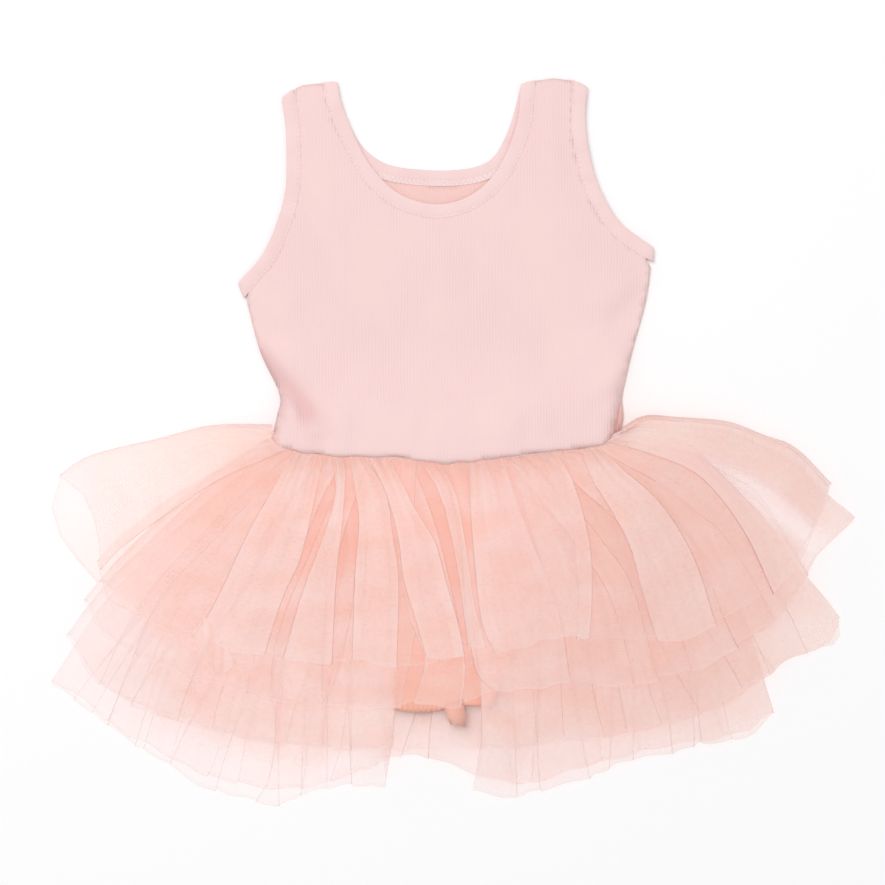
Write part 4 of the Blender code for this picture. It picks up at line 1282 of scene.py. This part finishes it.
def leotard(rib, inside, bound, thread):
    """The bodice's two panels, its bindings, their stitches, and the taped seam inside the back of the neck."""
    front_plan = bodice_plan(FRONT_NECK, 1.9, SIDE_RIGHT)
    back_plan = bodice_plan(BACK_NECK, 0.0, BACK_SIDE_RIGHT)
    panel("bodice_front", front_plan, lambda p: bodice_front_height(p, front_plan), 3.6, rib,
          pinch_shade)
    panel("bodice_back", back_plan, lambda p: np.full(len(p), 0.6), 6.0, inside)
    levels = (FLOOR_LEVEL + 0.1, FRONT_LEVEL)
    front, back = (rungs(neck, -BINDING_WIDTH, 90) for neck in (FRONT_NECK, BACK_NECK))
    left, right = rungs(ARMHOLE_LEFT, BINDING_WIDTH, 60), rungs(ARMHOLE_RIGHT, -BINDING_WIDTH, 60)
    # The stitch lines end at the shoulder seams and the side seams.
    for (_, inner), first, last in (
        (front, (-79.3, 220.8), (50.7, 222.3)),
        (back, (-79.3, 220.8), (50.7, 222.3)),
        (left, (-97.4, 216.8), (-127.2, 90.6)),
        (right, (73.4, 222.6), (122.4, 112.4)),
    ):
        inner[0], inner[-1] = first, last
    bound_ring("neck_binding", ring_rungs(front, back, levels), bound)
    bound_ring("armhole_binding_left", ring_rungs(left, left, levels), bound)
    bound_ring("armhole_binding_right", ring_rungs(right, right, levels), bound)
    seam = BINDING_WIDTH * STITCH_GROOVE
    runs = []
    for line, side in ((front[0], -seam), (left[0], seam), (right[0], -seam)):
        runs += stitches(beside(line, side)[2:-2], FRONT_LEVEL + 0.8)
    thread_pieces("topstitches", runs, 0.26, thread)

    back_line = even(back[0][14:-14], 400)
    near, far = beside(back_line, -(BINDING_WIDTH - 2.6)), beside(back_line, -(BINDING_WIDTH + 0.5))
    tape = [(x, y, FLOOR_LEVEL + 0.95) for row in (near, far) for x, y in row]
    count = len(back_line)
    quads = [(i, i + 1, count + i + 1, count + i) for i in range(count - 1)]
    band = face_up(piece("back_neck_tape", tape, quads, plain("tape_pale", (0.92, 0.735, 0.715, 1.0))))
    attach(band, "root")
    zigzag = [(*(near if i % 2 else far)[k], FLOOR_LEVEL + 1.15) for i, k in enumerate(range(0, count, 4))]
    rows = [[(x, y, FLOOR_LEVEL + 1.05) for x, y in row[::5]] for row in (near, far)]
    thread_pieces("back_neck_overlock", [zigzag, *rows], 0.22, thread)


BRIEF_TOP = BRIEF_PLAN[:5]
BRIEF_LEFT = [(-94.0, -80.0), (-74.0, -92.0), (-56.0, -112.0), (-44.0, -138.0), (-38.0, -161.5)]
BRIEF_RIGHT = [(88.0, -78.0), (68.0, -90.0), (48.0, -108.0), (33.0, -136.0), (24.0, -160.5)]
BRIEF_LOW = [(-38.0, -161.5), (-30.0, -163.6), (-20.0, -164.2), (-9.0, -163.0), (4.0, -160.0), (24.0, -160.5)]
# The crotch's folded end: its outline and how far each corner stands up. Its left edge stands over a slit, and a
# facet runs from there to the lower right corner.
TAB_PLAN = [
    (-4.9, -160.5), (6.4, -156.0), (7.9, -165.0), (8.0, -172.9), (2.0, -171.6), (-0.9, -171.8), (-3.6, -166.2),
]
TAB_RAISED = [0.1, 0.1, 0.5, 0.0, 1.0, -0.6, 1.9]
TAB_MIDDLE = (-0.2, -165.8, 0.3)


def brief(cloth, tab_cloth, levels):
    """The brief's front and back, its gathered leg bindings and the folded end of its crotch."""
    left, right, low = (even(smooth(line), 40) for line in (BRIEF_LEFT, BRIEF_RIGHT, BRIEF_LOW))
    outline = np.vstack([BRIEF_TOP[::-1], right, low[::-1][1:], left[::-1][1:]])
    edge = np.vstack([left, low, right[::-1]])

    def front_cloth(points):
        """The front's height: it ripples at the leg bindings, and is slowly uneven elsewhere."""
        away = distance_to(points, edge)
        ripple = 0.3 * np.sin(points[:, 0] * 2 * math.pi / 3.1 + 0.4 * np.sin(points[:, 1] * 0.3))
        slow = 0.4 * np.sin(points[:, 0] * 0.21 + points[:, 1] * 0.13)
        return levels[1] + (0.45 + ripple) * np.exp(-away / 7.0) + slow * (1 - np.exp(-away / 9.0))

    panel("brief_front", outline, front_cloth, 2.6, cloth)
    panel("brief_back", outline, lambda p: np.full(len(p), levels[0]), 6.0, cloth)
    for name, line, side in (("left", left, 6.0), ("right", right, -6.0)):
        pair = (line, beside(line, side))
        bound_ring(f"leg_binding_{name}", ring_rungs(pair, pair, levels), cloth, 0.25)
    high = levels[1] + 0.9
    vertices = [(x, y, high + z) for (x, y), z in zip(TAB_PLAN, TAB_RAISED)]
    vertices.append((*TAB_MIDDLE[:2], high + TAB_MIDDLE[2]))
    faces = [(i, (i + 1) % len(TAB_PLAN), len(TAB_PLAN)) for i in range(len(TAB_PLAN))]
    tab = thicken(face_up(piece("crotch_tab_cloth", vertices, faces, tab_cloth)), 0.8)
    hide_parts("crotch_tab")
    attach(tab, "root")


# ---- the scene ----

PALE_NET = (0.915, 0.76, 0.735, 1.0)
NET_TINTS = [
    (0.925, 0.645, 0.565, 1.0), (0.92, 0.62, 0.535, 1.0), (0.92, 0.615, 0.53, 1.0), (0.91, 0.64, 0.575, 1.0),
]
PUFFS = (4.0, 1.5, 1.5, 1.5)  # how high a wide pleat may crown


def main():
    """Makes the four tiers, the leotard, the brief, and the studio round them."""
    rib = knit("rib_knit_pink", (0.905, 0.665, 0.645, 1.0), (0.845, 0.59, 0.61, 1.0))
    inside = knit("rib_knit_inside", (0.90, 0.60, 0.56, 1.0), (0.84, 0.52, 0.50, 1.0))
    bound = plain("binding_pink", (0.90, 0.675, 0.66, 1.0))
    brief_cloth = gathered_knit("brief_peach", (0.89, 0.50, 0.40, 1.0))
    tab_cloth = plain("brief_tab_peach", (0.89, 0.51, 0.42, 1.0))
    thread = plain("thread_pale", (0.96, 0.83, 0.83, 1.0), 0.00005)
    for index, (tint, puff) in enumerate(zip(NET_TINTS, PUFFS)):
        cloth = tulle(f"tulle_{index + 1}", tint, PALE_NET)
        build_tier(index, *lay_tier(index), cloth, puff, 100 + index)
        if index == 0:
            corner_flap(cloth)
    leotard(rib, inside, bound, thread)
    brief(brief_cloth, tab_cloth, [FLOOR_LEVEL + 4 * BACK_STEP + BRIEF_STEP * i for i in (0, 1)])
    lights_and_camera()


def lights_and_camera():
    """A plain white floor, an even white studio round it, two soft lamps, and the camera straight above."""
    scene = bpy.context.scene
    floor = bpy.data.meshes.new("floor")
    floor.from_pydata([(x, y, -0.0004) for x, y in ((-3, -3), (3, -3), (3, 3), (-3, 3))], [], [(0, 1, 2, 3)])
    white = Nodes("floor_white")
    white.set(Base_Color=(0.97, 0.97, 0.975, 1.0), Roughness=0.9, Specular_IOR_Level=0.1)
    floor.materials.append(white.material)
    ground = bpy.data.objects.new("floor", floor)
    scene.collection.objects.link(ground)

    scene.world = scene.world or bpy.data.worlds.new("studio")
    scene.world.use_nodes = True
    background = scene.world.node_tree.nodes["Background"]
    background.inputs[0].default_value = (1.0, 1.0, 1.0, 1.0)
    background.inputs[1].default_value = 0.62

    for name, place, size, power in (
        ("key", (-0.7, 0.88, 2.1), 2.0, 26.6),
        ("fill", (1.6, -0.6, 2.0), 2.2, 6.0),
    ):
        lamp = bpy.data.lights.new(name, "AREA")
        lamp.shape = "DISK"
        lamp.size = size
        lamp.energy = power
        made = bpy.data.objects.new(name, lamp)
        made.location = place
        made.rotation_euler = (Vector((0.0, 0.0, 0.0)) - Vector(place)).to_track_quat("-Z", "Y").to_euler()
        scene.collection.objects.link(made)

    camera = bpy.data.cameras.new("camera")
    camera.lens = 100.0
    camera.sensor_width = 36.0
    camera.clip_start = 0.01
    made = bpy.data.objects.new("camera", camera)
    made.location = ((-6.1 + SHIFT[0]) * MM, (0.9 + SHIFT[1]) * MM, 1.512)
    scene.collection.objects.link(made)
    scene.camera = made
    scene.view_settings.view_transform = "Standard"
    scene.cycles.transparent_max_bounces = 64


main()
